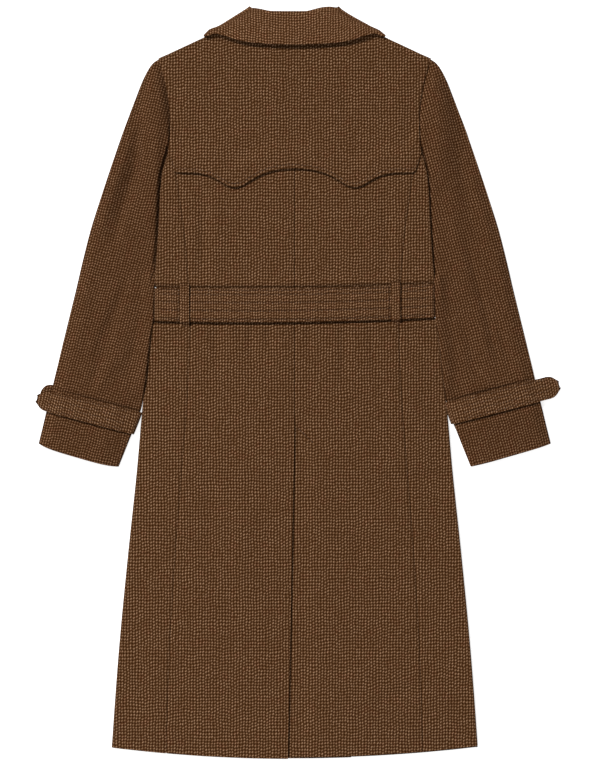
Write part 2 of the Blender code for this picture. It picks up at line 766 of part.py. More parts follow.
def sleeve_cap(across):
    """Top edge of the sleeve: along the armhole, then curling in under the body to the inner fold."""
    if across <= CAP_TURN_SHARE:
        y = blend(SHOULDER_Y, CAP_TURN_Y, across / CAP_TURN_SHARE)
        return armhole_x(y) + ARMHOLE_CLEAR, y
    turn = (across - CAP_TURN_SHARE) / (1 - CAP_TURN_SHARE) * math.pi / 2
    start_x = armhole_x(CAP_TURN_Y) + ARMHOLE_CLEAR
    x = blend(SLEEVE[0].inner_x, start_x, math.cos(turn))
    return x, blend(CAP_TURN_Y, SLEEVE[0].inner_y, math.sin(turn))


def straight_point(v, across):
    x = blend(SLEEVE_AT["outer_x"](v), SLEEVE_AT["inner_x"](v), across)
    y = blend(SLEEVE_AT["outer_y"](v), SLEEVE_AT["inner_y"](v), across)
    return x, y


def section_point(v, across):
    """Place in plan at a share of the way from outer to inner fold: curved like the cap, then straight."""
    x, y = straight_point(v, across)
    if v < CAP_FADE and 0 <= across <= 1:
        cap_x, cap_y = sleeve_cap(across)
        first_x, first_y = straight_point(0.0, across)
        x += (cap_x - first_x) * (1 - v / CAP_FADE)
        y += (cap_y - first_y) * (1 - v / CAP_FADE)
    return x, y


def section_width(v):
    return math.dist(section_point(v, 0.0), section_point(v, 1.0))


def fold_share(v, end):
    """Share of a section for each unit square to the fold line at one of its ends."""
    before = Vector(section_point(max(v - 0.1, 0.0), end))
    after = Vector(section_point(min(v + 0.1, len(SLEEVE) - 1), end))
    fold = (after - before).normalized()
    step = 0.02
    near, far = max(end - step, 0.0), min(end + step, 1.0)
    along = (Vector(section_point(v, far)) - Vector(section_point(v, near))) / step
    return 1.0 / max(abs(fold.cross(along)), LEAST_FOLD_ANGLE * along.length)


def sleeve_floor(side, v):
    return (STRAP_THICK + LAYER_GAP) * strap_band(side, v)


def sleeve_top(side, v, across):
    """Height of the sleeve's upper face: low where the body lies on it, level beyond."""
    x, y = section_point(v, min(max(across, 0.0), 1.0))
    tucked = spread(y - CAP_TURN_Y, CAP_LEVEL, SLOPE_ROUND)
    tucked *= spread(x - half_width(min(y, ARMPIT_Y)), TUCK_CLEAR, SLEEVE_RISE)
    crest = SLEEVE_CREST + 0.5 * sleeve_floor(side, v)
    return blend(crest, SLEEVE_LOW + 0.5 * sleeve_floor(side, v), tucked)


def sleeve_ring(side, v, kind, at):
    """Point of a flattened section: at is an angle in the folds, or a share of the width on the faces."""
    floor = sleeve_floor(side, v)
    if kind == "outer":
        radius = (sleeve_top(side, v, 0.0) - floor) / 2
        across = radius * fold_share(v, 0.0) * (1 - math.cos(math.radians(at)))
    elif kind == "inner":
        radius = (sleeve_top(side, v, 1.0) - floor) / 2
        across = 1 - radius * fold_share(v, 1.0) * (1 - math.cos(math.radians(at)))
    else:
        radius = 0.0
        across = at
    x, y = section_point(v, across)
    if kind == "top":
        z = sleeve_top(side, v, across)
    elif kind == "low":
        z = floor
    else:
        z = floor + radius * (1 + math.sin(math.radians(at)))
    return x, y, z


def sleeve(side):
    sign = -1 if side == "left" else 1
    top_shares = (0.08, 0.18, 0.30, 0.42, 0.54, 0.66, 0.78, 0.90)
    low_shares = (0.85, 0.60, 0.40, 0.15)
    around = [("outer", a) for a in (0, 45, 90)] + [("top", s) for s in top_shares]
    around += [("inner", a) for a in (90, 45, 0, -45, -90)] + [("low", s) for s in low_shares]
    around += [("outer", a) for a in (-90, -45, 0)]
    start = STRAP_START[side]
    finish = start + STRAP_SPAN
    near_strap = (start - 0.95, start - 0.35, start + 0.20, finish + 0.15, finish + 0.60)
    sections = (0.0, 0.4, 1.0, 1.6, 2.3, 3.0, 4.0, 5.0, 6.0, 7.0, 8.0, 9.0, 9.7) + near_strap + (13.0,)

    def place(station, v):
        x, y, z = sleeve_ring(side, v, *station)
        return Vector((sign * x, y, z))

    return sheet(f"sleeve_{side}", around[::sign], sections, place, CLOTH, tube=True)


def cuff_strap(side):
    """Strap from its sewn end under the sleeve, round the inner fold and over to its free tip."""
    sign = -1 if side == "left" else 1
    start = STRAP_START[side]
    proud = STRAP_GAP + STRAP_THICK
    width = section_width(start)
    tip, end = STRAP_TIP[side], STRAP_END[side]
    tips = tuple(-tip + STRAP_POINT * step for step in (0.0, 0.12, 0.35, 0.65, 1.0))
    tops = tuple(width * share for share in (0.08, 0.25, 0.42, 0.58, 0.75, 0.88))
    lows = tuple(width * share for share in (0.80, 0.60, 0.40, 0.28))
    ends = tuple(end + STRAP_POINT * step for step in (1.0, 0.5, 0.15, 0.0))
    along = [("top", s) for s in tips + tops] + [("inner", a) for a in (75, 45, 15, -15, -45, -75)]
    along += [("low", s) for s in lows + ends]

    def narrowed(s, last):
        into = 1 - min(max((s - last) / STRAP_POINT, 0.0), 1.0)
        return math.sqrt(max(1 - (STRAP_TAPER * into) ** 2, 0.0))

    def place(q, station):
        kind, at = station
        share = q - 0.5
        if kind == "top":
            share *= narrowed(at, -tip)
        elif kind == "low":
            share *= narrowed(at, end)
        v = start + STRAP_SPAN * (0.5 + share)
        length = section_width(v)
        top = sleeve_top(side, v, 0.5) + proud
        radius = top / 2
        if kind == "inner":
            angle = math.radians(at)
            reach = length + proud - radius * (1 - math.cos(angle))
            z = radius * (1 + math.sin(angle))
        elif kind == "top":
            reach = at
            z = top - STRAP_TIP_DROP * ease(-at / STRAP_TIP["right"])
        else:
            reach = at
            z = 0.0
            v -= STRAP_END_SHIFT[side] * spread(at - end, 0.0, STRAP_SHIFT_LENGTH)
        x, y = section_point(v, reach / length)
        return Vector((sign * x, y, z))

    return sheet(f"cuff_strap_{side}", (0.0, 0.25, 0.5, 0.75, 1.0)[::-sign], along, place, STRAP_THICK)


# Collar

def collar_side(line, side, kind, at):
    """Point on the collar's fold line or outer edge: over the back, round the crease or under the front."""
    sign = -1 if side == "left" else 1
    run = Vector((COLLAR_EDGE.crease_x - COLLAR_FOLD.crease_x, COLLAR_EDGE.crease_y - COLLAR_FOLD.crease_y))
    outward = Vector((-run.y, run.x)).normalized()
    radius = (line.height - line.drop) / 2
    crease = Vector((line.crease_x, line.crease_y))
    start = crease - outward * radius
    if kind == "top":
        x = at * start.x
        y = line.middle_y + (start.y - line.middle_y) * at * at
        z = line.height - line.drop * at * at
    elif kind == "crease":
        angle = math.radians(at)
        x, y = start + outward * radius * math.cos(angle)
        z = radius * (1 + math.sin(angle))
    else:
        x, y = start.lerp(Vector((line.end_x, line.end_y)), at)
        z = 0.0
    return Vector((sign * x, y, z))


def collar_fall():
    """Outer leaf of the collar, from one front end round the back of the neck to the other."""
    right = [("top", s) for s in (0.15, 0.30, 0.45, 0.60, 0.75, 0.88, 1.0)]
    right += [("crease", a) for a in (60, 30, 0, -30, -60)] + [("low", f) for f in (0.0, 0.3, 0.65, 1.0)]
    around = [("left",) + at for at in right[::-1]] + [("right", "top", 0.0)]
    around += [("right",) + at for at in right]

    def place(station, t):
        side, kind, at = station
        fold = collar_side(COLLAR_FOLD, side, kind, at)
        edge = collar_side(COLLAR_EDGE, side, kind, at)
        stand_under = back_under(0.0, COLLAR_FOLD.middle_y)
        radius = (COLLAR_FOLD.height - stand_under) / 2
        towards = (edge - fold).normalized()
        if t <= 1:
            return edge.lerp(fold + towards * radius, t)
        turned = ease((COLLAR_TURN_END - at) / COLLAR_TURN_SLOPE) if kind == "top" else 0.0
        inset, height = rolled(t - 1, fold.z, (fold.z + stand_under) / 2, radius, turned)
        point = fold + towards * inset
        point.z = blend(point.z, height, turned)
        return point

    along = (0.0, 0.2, 0.45, 0.72, 1.0) + tuple(1 + turn for turn in ROLL)
    return sheet("collar_fall", around, along, place, COLLAR_CLOTH)


def collar_stand():
    """Band from the neck seam up to the collar's fold."""
    def fold_y(x):
        rise = COLLAR_FOLD.crease_y - COLLAR_FOLD.middle_y
        return COLLAR_FOLD.middle_y + rise * (x / COLLAR_FOLD.crease_x) ** 2

    def place(u, v):
        x = u * STAND_HALF
        low_y, top_y = body_top_y(x) + NECK_SEAM, fold_y(x)
        under = back_under(0.0, COLLAR_FOLD.middle_y)
        fall_top = COLLAR_FOLD.height - COLLAR_FOLD.drop * u * u
        radius = (fall_top - under) / 2
        if v <= 1:
            return Vector((x, blend(low_y, top_y - radius, v), under))
        inset, height = rolled(v - 1, under, (fall_top + under) / 2, radius, 1.0)
        return Vector((x, top_y - inset, height))

    across = tuple(step / 6 - 1 for step in range(13))
    along = (0.0, 0.5, 1.0) + tuple(1 + turn for turn in ROLL)
    return sheet("collar_stand", across, along, place, CLOTH, inward=1)


for old in list(bpy.data.objects):
    bpy.data.objects.remove(old, do_unlink=True)

parts = bpy.data.collections.new("double_breasted_coat")
bpy.context.scene.collection.children.link(parts)
coat = bpy.data.objects.new("coat", None)
coat.location = (SEAM_X, SEAM_Y, 0.0)
parts.objects.link(coat)

yoke()
collar_fall()
collar_stand()
belt()
buckle()
for coat_side in ("left", "right"):
    centre_back(coat_side)
    side_back(coat_side)
    front(coat_side)
    lapel(coat_side)
    sleeve(coat_side)
    cuff_strap(coat_side)
    belt_loop(coat_side)
button_places = [(x, y) for y in BUTTON_ROWS for x in (-BUTTON_COLUMN, BUTTON_COLUMN)]
for count, (button_x, button_y) in enumerate(button_places, 1):
    button(count, button_x, button_y)
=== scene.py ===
import math
from bisect import bisect_right

import bpy
import numpy as np
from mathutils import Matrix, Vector, noise


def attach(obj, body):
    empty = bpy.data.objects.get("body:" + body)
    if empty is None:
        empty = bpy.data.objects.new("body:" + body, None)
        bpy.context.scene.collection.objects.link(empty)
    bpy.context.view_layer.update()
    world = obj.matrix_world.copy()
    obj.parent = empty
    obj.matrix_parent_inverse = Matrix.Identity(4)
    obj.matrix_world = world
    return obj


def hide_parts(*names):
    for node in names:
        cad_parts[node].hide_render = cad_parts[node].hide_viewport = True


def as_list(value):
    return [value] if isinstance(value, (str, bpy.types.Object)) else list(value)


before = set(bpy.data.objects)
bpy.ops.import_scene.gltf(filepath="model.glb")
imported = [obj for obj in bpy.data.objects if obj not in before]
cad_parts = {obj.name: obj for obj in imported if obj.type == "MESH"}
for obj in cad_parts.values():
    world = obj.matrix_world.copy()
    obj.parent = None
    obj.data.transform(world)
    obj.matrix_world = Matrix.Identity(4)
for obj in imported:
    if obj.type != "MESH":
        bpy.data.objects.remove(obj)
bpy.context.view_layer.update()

scene = bpy.context.scene

# places are in metres (creases in millimetres) from the centre back seam: x across, y to the collar, z up
cloth = {
    "seamPlace": (-0.008, 0.0004, 0.0),  # where that seam stands in the frame
    "wall": 0.002,
    "seam": 0.0003,  # between edges sewn together
    "layer": 0.0005,  # between layers that lie on each other
    "foldRadius": 0.0042,
    "foldLip": 0.0005,
    "foldGap": 0.0008,
    "step": 0.005,  # mesh size
    "edgeRound": 0.0006,
    "levelRound": 0.023,  # how far a layer lies level round what is under it
    "slopeRound": 0.03,
    "creaseFade": 0.7,  # how soon a crease reaches its depth from its ends
    "rimAngle": math.radians(55),  # sharper edges are rounded
}
signs = {"left": -1, "right": 1}


# small helpers

def blend(a, b, t):
    return a + (b - a) * t


def clamp(t):
    return min(max(t, 0.0), 1.0)


def ease(t):
    t = clamp(t)
    return t * t * (3.0 - 2.0 * t)


def bell(off, width):
    return math.exp(-(off / width) ** 2)


def spread(distance, level, slope):  # one out to level, then easing to nothing
    return 1.0 - ease((distance - level) / slope)


def curveThrough(places, values):  # smooth curve that doesn't swing past its points
    steps = [b - a for a, b in zip(places, places[1:])]
    rises = [(b - a) / step for a, b, step in zip(values, values[1:], steps)]
    slopes = [rises[0]]
    for before, after in zip(rises, rises[1:]):
        slopes.append(2 * before * after / (before + after) if before * after > 0 else 0.0)
    slopes.append(rises[-1])

    def value(at):
        at = min(max(at, places[0]), places[-1])
        i = min(bisect_right(places, at) - 1, len(steps) - 1)
        t = (at - places[i]) / steps[i]
        near = (1 + 2 * t) * (1 - t) ** 2 * values[i] + t * (1 - t) ** 2 * steps[i] * slopes[i]
        far = t * t * (3 - 2 * t) * values[i + 1] - t * t * (1 - t) * steps[i] * slopes[i + 1]
        return near + far

    return value


def curvesOf(rows, names, keyed=True):  # a curve for each column, along the first one or the row number
    keys = [row[0] for row in rows] if keyed else list(range(len(rows)))
    first = 1 if keyed else 0
    return {name: curveThrough(keys, [row[i + first] for row in rows]) for i, name in enumerate(names.split())}


def evenly(first, last, step=cloth["step"]):
    count = max(round(abs(last - first) / step), 1)
    return [blend(first, last, k / count) for k in range(count + 1)]


def tagged(kind, places):
    return [(kind, at) for at in places]


def stations(length, step=cloth["step"], near=(0.0, 0.0005, 0.0012, 0.0022, 0.0038)):  # close together at both ends
    inner = evenly(near[-1], length - near[-1], step)
    along = list(near[:-1]) + inner + [length - d for d in near[-2::-1]]
    return [d / length for d in along]


def mapped(points, creases, unit=0.001):  # height of creases: x y of a path, depth, width to its left and right
    lift = np.zeros(len(points))
    for path, *sizes in creases:
        path = np.reshape(path, (-1, 2)) * unit
        depth, *widths = [size * unit for size in sizes]
        best = np.full(len(points), np.inf)
        along = np.zeros(len(points))
        width = np.full(len(points), widths[0])
        run = 0.0
        for (ax, ay), (bx, by) in zip(path, path[1:]):
            dx, dy = bx - ax, by - ay
            length = math.hypot(dx, dy)
            t = np.clip(((points[:, 0] - ax) * dx + (points[:, 1] - ay) * dy) / length ** 2, 0.0, 1.0)
            off = np.hypot(points[:, 0] - ax - dx * t, points[:, 1] - ay - dy * t)
            closer = off < best
            best = np.where(closer, off, best)
            along = np.where(closer, run + t * length, along)
            onLeft = dx * (points[:, 1] - ay) > dy * (points[:, 0] - ax)
            width = np.where(closer, np.where(onLeft, widths[0], widths[-1]), width)
            run += length
        fade = np.sin(np.pi * np.clip(along / run, 0.0, 1.0)) ** cloth["creaseFade"]
        lift += depth * np.exp(-(best / width) ** 2) * fade
    return lift


def ramp(values, first, over):
    return np.clip((values - first) / over, 0.0, 1.0)


def ripple(points, size, height, seed):  # slow uneven swell, so no face is dead flat
    return height * np.array([noise.noise((x / size, y / size, seed)) for x, y, _ in points])


def finish(name, mesh, nodes, finishName):
    made = bpy.data.objects.new(name, mesh)
    scene.collection.objects.link(made)
    mesh.materials.append(finishes[finishName])
    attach(made, "root")
    if nodes:
        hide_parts(*nodes)
    return made


def applyAll(made):
    bpy.ops.object.select_all(action="DESELECT")
    made.select_set(True)
    bpy.context.view_layer.objects.active = made
    for modifier in list(made.modifiers):
        bpy.ops.object.modifier_apply(modifier=modifier.name)


def sewSheet(node, across, along, place, look="bodyTweed", wall=cloth["wall"], inward=-1, ring=False, relief=None):
    name = node + "_cloth"
    grid = np.array([[place(a, b) for a in across] for b in along])  # x y z u v at every station
    wide = len(across) - 1 if ring else len(across)
    points = grid[:, :wide, :3].reshape(-1, 3).copy()
    if relief:
        points[:, 2] += relief(points)
    points += np.array(cloth["seamPlace"])
    faces, weave = [], []
    for j in range(len(along) - 1):
        for i in range(len(across) - 1):
            quad = ((i, j), (i + 1, j), (i + 1, j + 1), (i, j + 1))
            faces.append([b * wide + a % wide for a, b in quad])
            weave.extend(grid[b, a, 3:] for a, b in quad)
    mesh = bpy.data.meshes.new(name)
    mesh.from_pydata(points.tolist(), [], faces)
    mesh.uv_layers.new(name="weave").data.foreach_set("uv", np.array(weave).ravel())
    mesh.shade_smooth()
    made = finish(name, mesh, [node], look)
    shell = made.modifiers.new("wall", "SOLIDIFY")
    shell.thickness = wall
    shell.offset = inward
    rim = made.modifiers.new("rim", "BEVEL")
    rim.width = cloth["edgeRound"]
    rim.segments = 2
    rim.angle_limit = cloth["rimAngle"]
    rim.harden_normals = True
    applyAll(made)
    return made


# finishes

tweed = {
    "pitch": (0.00435, 0.0047),  # across and along one thread crossing
    "scale": {"bodyTweed": 1.0, "shadedSleeveTweed": 0.9, "litCollarTweed": 0.95, "litTrimTweed": 0.9},
    "dot": (0.285, 0.53),  # half width and half height of a light thread, in pitches
    "slant": (math.radians(-46), math.radians(-22)),  # lean of a thread, least and most
    "hollow": (0.45, 0.39),  # half size of the dark hollow between four threads, in pitches
    "ground": 0.35,  # brightness of the cloth between a thread and a hollow
    "slip": 1.3,  # how far a column of threads lies above or below the next, in pitches
    "jitter": 0.2,  # how far a thread strays in its place, in pitches
    "wander": 0.0017,
    "noise": {  # scale and detail
        "drift": (45.0, 2.0), "slip": (1.0, 0.0), "patches": (40.0, 3.0), "fibres": (800.0, 3.0),
        "specks": (60.0, 4.0),
    },
    "slipStep": (7.3, 0.07),  # how much the slip changes by column and along a column
    "dotFade": (1.05, 0.1), "hollowFade": (0.15, 1.0),  # where each starts and ends, in its own half sizes
    "vivid": 0.66, "clear": (0.32, 0.6, 0.86),  # dullest thread, then where a dull patch ends and how dull it is
    "fibre": 0.08, "dullAt": 0.45,
    "speckFade": (0.52, 0.72), "speckTint": (1.02, 0.94, 0.95),
    "bump": 0.0008, "bumpStrength": 0.6, "bumpShare": (0.8, 0.5),  # of threads and fibres
    "roughness": 0.95, "sheen": 0.012, "sheenRoughness": 0.7, "sheenTint": (0.8, 0.6, 0.45, 1.0),
    "looks": {  # hollow between threads, dull thread, light thread
        "bodyTweed": ((0.012, 0.0022, 0.0001), (0.072, 0.0315, 0.0112), (0.306, 0.187, 0.113)),
        # one tweed in four copies: the sleeve copy is darker as painted shade, the collar and trim copies are
        # lighter as painted light
        "shadedSleeveTweed": ((0.012, 0.0022, 0.0001), (0.063, 0.0268, 0.0098), (0.248, 0.142, 0.082)),
        "litCollarTweed": ((0.012, 0.0024, 0.0002), (0.085, 0.0365, 0.0135), (0.35, 0.21, 0.126)),
        "litTrimTweed": ((0.012, 0.0023, 0.0001), (0.074, 0.0318, 0.0116), (0.334, 0.205, 0.122)),
    },
}
finishes = {}


def addNode(tree, kind, inputs=None, **settings):
    made = tree.nodes.new("ShaderNode" + kind)
    for key, value in settings.items():
        setattr(made, key, value)
    for key, value in (inputs or {}).items():
        if isinstance(value, bpy.types.NodeSocket):
            tree.links.new(value, made.inputs[key])
        else:
            made.inputs[key].default_value = value
    return made


def maths(tree, operation, first, second):
    return addNode(tree, "Math", {0: first, 1: second}, operation=operation).outputs[0]


def vectorMaths(tree, operation, first, second=None):
    inputs = {0: first}
    if second is not None:
        inputs["Scale" if operation == "SCALE" else 1] = second
    made = addNode(tree, "VectorMath", inputs, operation=operation)
    return made.outputs["Value" if operation == "LENGTH" else 0]


def noiseOn(tree, spot, scale, detail, output="Fac", distortion=0.0):
    inputs = {"Vector": spot, "Scale": scale, "Detail": detail, "Distortion": distortion}
    return addNode(tree, "TexNoise", inputs).outputs[output]


def roundSpot(tree, spot, middle, turn, size):  # distance from the middle of a leaning oval, one at its rim
    inputs = {"Vector": spot, "Location": (middle, middle, 0.0), "Rotation": turn, "Scale": (*size, 9.0)}
    return vectorMaths(tree, "LENGTH", addNode(tree, "Mapping", inputs, vector_type="TEXTURE").outputs[0])


def rescale(tree, value, low, high, toLow, toHigh, kind="SMOOTHSTEP"):
    inputs = {"Value": value, "From Min": low, "From Max": high, "To Min": toLow, "To Max": toHigh}
    return addNode(tree, "MapRange", inputs, interpolation_type=kind).outputs[0]


def mixColour(tree, share, first, second, kind="MIX"):
    made = addNode(tree, "Mix", data_type="RGBA", blend_type=kind)
    for key, value in ((0, share), (6, first), (7, second)):
        if isinstance(value, bpy.types.NodeSocket):
            tree.links.new(value, made.inputs[key])
        else:
            made.inputs[key].default_value = value if key == 0 else (*value, 1.0)
    return made.outputs[2]


def newFinish(name):
    made = bpy.data.materials.new(name)
    made.use_nodes = True
    finishes[name] = made
    return made.node_tree, made.node_tree.nodes["Principled BSDF"]


def setInputs(shader, values):
    for name, value in values.items():
        shader.inputs[name].default_value = value


def addBump(tree, shader, height, strength, distance):
    bump = addNode(tree, "Bump", {"Height": height, "Strength": strength, "Distance": distance})
    tree.links.new(bump.outputs[0], shader.inputs["Normal"])


def makeTweed(name):
    hollow, dull, light = tweed["looks"][name]
    tree, shader = newFinish(name)
    uv = addNode(tree, "TexCoord").outputs["UV"]
    centred = vectorMaths(tree, "SUBTRACT", noiseOn(tree, uv, *tweed["noise"]["drift"], "Color"), (0.5, 0.5, 0.5))
    wandering = vectorMaths(tree, "ADD", uv, vectorMaths(tree, "SCALE", centred, tweed["wander"] * 2))
    perThread = [1 / pitch / tweed["scale"][name] for pitch in tweed["pitch"]]
    straight = vectorMaths(tree, "MULTIPLY", wandering, (*perThread, 0.0))
    onThreads = addNode(tree, "SeparateXYZ", {0: straight})
    byColumn, alongColumn = tweed["slipStep"]
    column = maths(tree, "MULTIPLY", maths(tree, "FLOOR", onThreads.outputs["X"], 0.0), byColumn)
    row = maths(tree, "MULTIPLY", onThreads.outputs["Y"], alongColumn)
    spot = addNode(tree, "CombineXYZ", {"X": column, "Y": row}).outputs[0]
    slip = maths(tree, "MULTIPLY", noiseOn(tree, spot, *tweed["noise"]["slip"]), tweed["slip"])
    threads = vectorMaths(tree, "ADD", straight, addNode(tree, "CombineXYZ", {"Y": slip}).outputs[0])
    cell = vectorMaths(tree, "FLOOR", threads)
    chance = addNode(tree, "TexWhiteNoise", {"Vector": cell}, noise_dimensions="2D")
    stray = vectorMaths(tree, "SCALE", chance.outputs["Color"], tweed["jitter"])
    strayed = vectorMaths(tree, "ADD", vectorMaths(tree, "SUBTRACT", threads, cell), stray)
    leanAngle = rescale(tree, chance.outputs["Value"], 0.0, 1.0, *tweed["slant"], "LINEAR")
    lean = addNode(tree, "CombineXYZ", {"Z": leanAngle}).outputs[0]
    off = roundSpot(tree, strayed, 0.5 + tweed["jitter"] / 2, lean, tweed["dot"])
    dot = rescale(tree, off, *tweed["dotFade"], 0.0, 1.0)
    inGap = vectorMaths(tree, "FRACTION", vectorMaths(tree, "ADD", threads, (0.5, 0.5, 0.0)))
    gapOff = roundSpot(tree, inGap, 0.5, (0.0, 0.0, sum(tweed["slant"]) / 2), tweed["hollow"])
    filled = rescale(tree, gapOff, *tweed["hollowFade"], 0.0, tweed["ground"])
    draw = addNode(tree, "SeparateXYZ", {0: chance.outputs["Color"]}).outputs["Z"]
    vivid = rescale(tree, draw, 0.0, 1.0, tweed["vivid"], 1.0, "LINEAR")
    clear = rescale(tree, noiseOn(tree, uv, *tweed["noise"]["patches"]), *tweed["clear"], 1.0)
    fibres = noiseOn(tree, uv, *tweed["noise"]["fibres"])
    bright = maths(tree, "MULTIPLY", maths(tree, "MULTIPLY", dot, vivid), clear)
    bright = maths(tree, "ADD", maths(tree, "MULTIPLY", bright, 1.0 - tweed["ground"]), filled)
    bright = maths(tree, "ADD", bright, rescale(tree, fibres, 0.3, 0.7, -tweed["fibre"], tweed["fibre"], "LINEAR"))
    lower = mixColour(tree, rescale(tree, bright, 0.0, tweed["dullAt"], 0.0, 1.0, "LINEAR"), hollow, dull)
    woven = mixColour(tree, rescale(tree, bright, tweed["dullAt"], 1.0, 0.0, 1.0, "LINEAR"), lower, light)
    speckled = rescale(tree, noiseOn(tree, uv, *tweed["noise"]["specks"]), *tweed["speckFade"], 0.0, 1.0)
    warm = mixColour(tree, speckled, (1.0, 1.0, 1.0), tweed["speckTint"])
    tree.links.new(mixColour(tree, 1.0, woven, warm, "MULTIPLY"), shader.inputs["Base Color"])
    raised = [maths(tree, "MULTIPLY", part, share) for part, share in zip((dot, fibres), tweed["bumpShare"])]
    addBump(tree, shader, maths(tree, "ADD", *raised), tweed["bumpStrength"], tweed["bump"])
    setInputs(shader, {
        "Roughness": tweed["roughness"], "Specular IOR Level": 0.0, "Sheen Weight": tweed["sheen"],
        "Sheen Roughness": tweed["sheenRoughness"], "Sheen Tint": tweed["sheenTint"],
    })


trimmings = {
    "horn": {"dark": (0.018, 0.008, 0.004), "light": (0.085, 0.042, 0.02), "roughness": 0.36},
    "leather": {"dark": (0.03, 0.014, 0.007), "light": (0.075, 0.036, 0.018), "roughness": 0.58},
    "thread": {"dark": (0.03, 0.0135, 0.006), "light": (0.085, 0.042, 0.02), "roughness": 0.8},
    "roughnessRange": 0.08, "streaks": (1.0, 4.0, 1.0), "grain": (160.0, 5.0), "swirl": 1.2, "twist": (900.0, 2.0),
    "bumpStrength": 0.25, "bump": 0.0003,
}


def makeHorn(name, look):
    tree, shader = newFinish(name)
    spot = addNode(tree, "TexCoord").outputs["Object"]
    streak = addNode(tree, "Mapping", {"Vector": spot, "Scale": trimmings["streaks"]}).outputs[0]
    grain = noiseOn(tree, streak, *trimmings["grain"], distortion=trimmings["swirl"])
    colour = mixColour(tree, rescale(tree, grain, 0.35, 0.65, 0.0, 1.0), look["dark"], look["light"])
    tree.links.new(colour, shader.inputs["Base Color"])
    middle, reach = look["roughness"], trimmings["roughnessRange"]
    tree.links.new(rescale(tree, grain, 0.3, 0.7, middle - reach, middle + reach), shader.inputs["Roughness"])
    addBump(tree, shader, grain, trimmings["bumpStrength"], trimmings["bump"])


def makeThread(name, look):
    tree, shader = newFinish(name)
    spot = addNode(tree, "TexCoord").outputs["Object"]
    colour = mixColour(tree, noiseOn(tree, spot, *trimmings["twist"]), look["dark"], look["light"])
    tree.links.new(colour, shader.inputs["Base Color"])
    setInputs(shader, {"Roughness": look["roughness"]})


for lookName in tweed["looks"]:
    makeTweed(lookName)
makeHorn("hornButton", trimmings["horn"])
makeHorn("leatherBuckle", trimmings["leather"])
makeThread("sewingThread", trimmings["thread"])
print("finishes made:", ", ".join(finishes))


# outline and heights of the body

body = {
    "rows": (  # level, folded side, princess seam, back at the middle, back at the side, height of the side fold
        (-0.565, 0.275, 0.193, 0.0094, 0.0062, 0.0043),
        (-0.4, 0.264, 0.1875, 0.0098, 0.0062, 0.0043),
        (-0.265, 0.2512, 0.1795, 0.0122, 0.0064, 0.0044),
        (-0.13, 0.237, 0.169, 0.014, 0.0066, 0.0046),
        (-0.048, 0.2297, 0.1625, 0.014, 0.007, 0.0049),
        (0.034, 0.2212, 0.158, 0.0146, 0.008, 0.0056),
        (0.116, 0.213, 0.156, 0.0154, 0.01, 0.008),
        (0.165, 0.2092, 0.16, 0.0148, 0.0112, 0.0096),
        (0.223, 0.2048, 0.165, 0.0138, 0.0112, 0.0096),
        (0.28, 0.2018, 0.173, 0.013, 0.011, 0.0096),
        (0.314, 0.199, 0.178, 0.0126, 0.0108, 0.0094),
        (0.331, 0.1945, 0.18, 0.0122, 0.0104, 0.009),
        (0.4, 0.188, 0.18, 0.0106, 0.008, 0.0066),
        (0.486, 0.205, 0.18, 0.0096, 0.0074, 0.0064),
        (0.55, 0.068, 0.06, 0.0088, 0.0074, 0.0064),
    ),
    "hemY": -0.565, "hemSideRise": 0.0165, "rightHemRise": 0.003,
    "armpit": (0.1945, 0.331), "armholeLow": (0.19, 0.345), "shoulder": (0.205, 0.486),
    "armholeHollow": 0.0092,
    "neck": (0.068, 0.55), "neckDrop": 0.027,
    "waistNip": 0.0098, "nipRise": 0.004, "nipLevel": 0.0165, "nipSlope": 0.01,
    "hemBlend": 0.2,  # how far up a panel follows its hem
    "backFold": (-0.01, 0.008), "frontFold": (-0.11, 0.08),  # where a side's fold ends by the armpit
    "shoulderFold": (0.6, -0.04, 0.036),
    "foldWeave": 0.0015,  # cloth in one step of a fold
}
belt = {
    "width": 0.049, "half": 0.2112, "thick": 0.003, "gap": 0.0014,
    "y": 0.115, "tilt": 0.0126, "bow": 0.0986,
    "rows": (0.06, 0.32, 0.57, 0.82, 0.95),  # rows of stitching, as shares of the width
    "loopX": {"left": -0.1645, "right": 0.151}, "loopWidth": 0.0135, "loopTail": 0.007, "loopThick": 0.0016,
    "buckle": (0.06, 0.068), "buckleThick": 0.0026,
    "rowPress": (0.0016, 0.0016), "loopPress": (0.0016, 0.0018), "loopOff": 0.0008,  # depth and width of a line
    "puff": 0.001, "puffEnd": 0.1, "endBlend": 0.2,  # the last two as shares of its half length
    "loopTurn": (0.0009, 0.0031), "loopEdge": 0.0004,
    "floorLevel": 0.012, "floorSlope": 0.03,
    "fine": 0.005, "coarse": 0.02,
    "cut": {"flat": (0.049, 0.87), "area": 0.0426},
    "loopCut": {"flat": (0.0135, 0.064), "area": 0.00086},
}
bodyAt = curvesOf(body["rows"], "side princess crown edge middle")
shoulderSlope = (body["neck"][1] - body["shoulder"][1]) / (body["shoulder"][0] - body["neck"][0])


def beltMiddle(x):
    return belt["y"] + belt["tilt"] * x + belt["bow"] * x * x


def sideX(y):  # drawn in a little by the belt
    off = abs(y - belt["y"] - body["nipRise"])
    return bodyAt["side"](y) - body["waistNip"] * spread(off, body["nipLevel"], body["nipSlope"])


def armholeX(y):
    lowX, lowY = body["armholeLow"]
    if y < lowY:
        return blend(body["armpit"][0], lowX, (y - body["armpit"][1]) / (lowY - body["armpit"][1]))
    t = (y - lowY) / (body["shoulder"][1] - lowY)
    return blend(lowX, body["shoulder"][0], t) - body["armholeHollow"] * 4 * t * (1 - t)


def halfWidth(y):  # folded side, armhole, then shoulder line
    if y <= body["armpit"][1]:
        return sideX(y)
    if y <= body["shoulder"][1]:
        return armholeX(y)
    return body["neck"][0] + (body["neck"][1] - y) / shoulderSlope


def hemY(x):
    return body["hemY"] + body["hemSideRise"] * (x / body["rows"][0][1]) ** 2


def hemShare(level):  # one at the hem, easing to nothing above it
    return spread(level - body["hemY"], 0.0, body["hemBlend"])


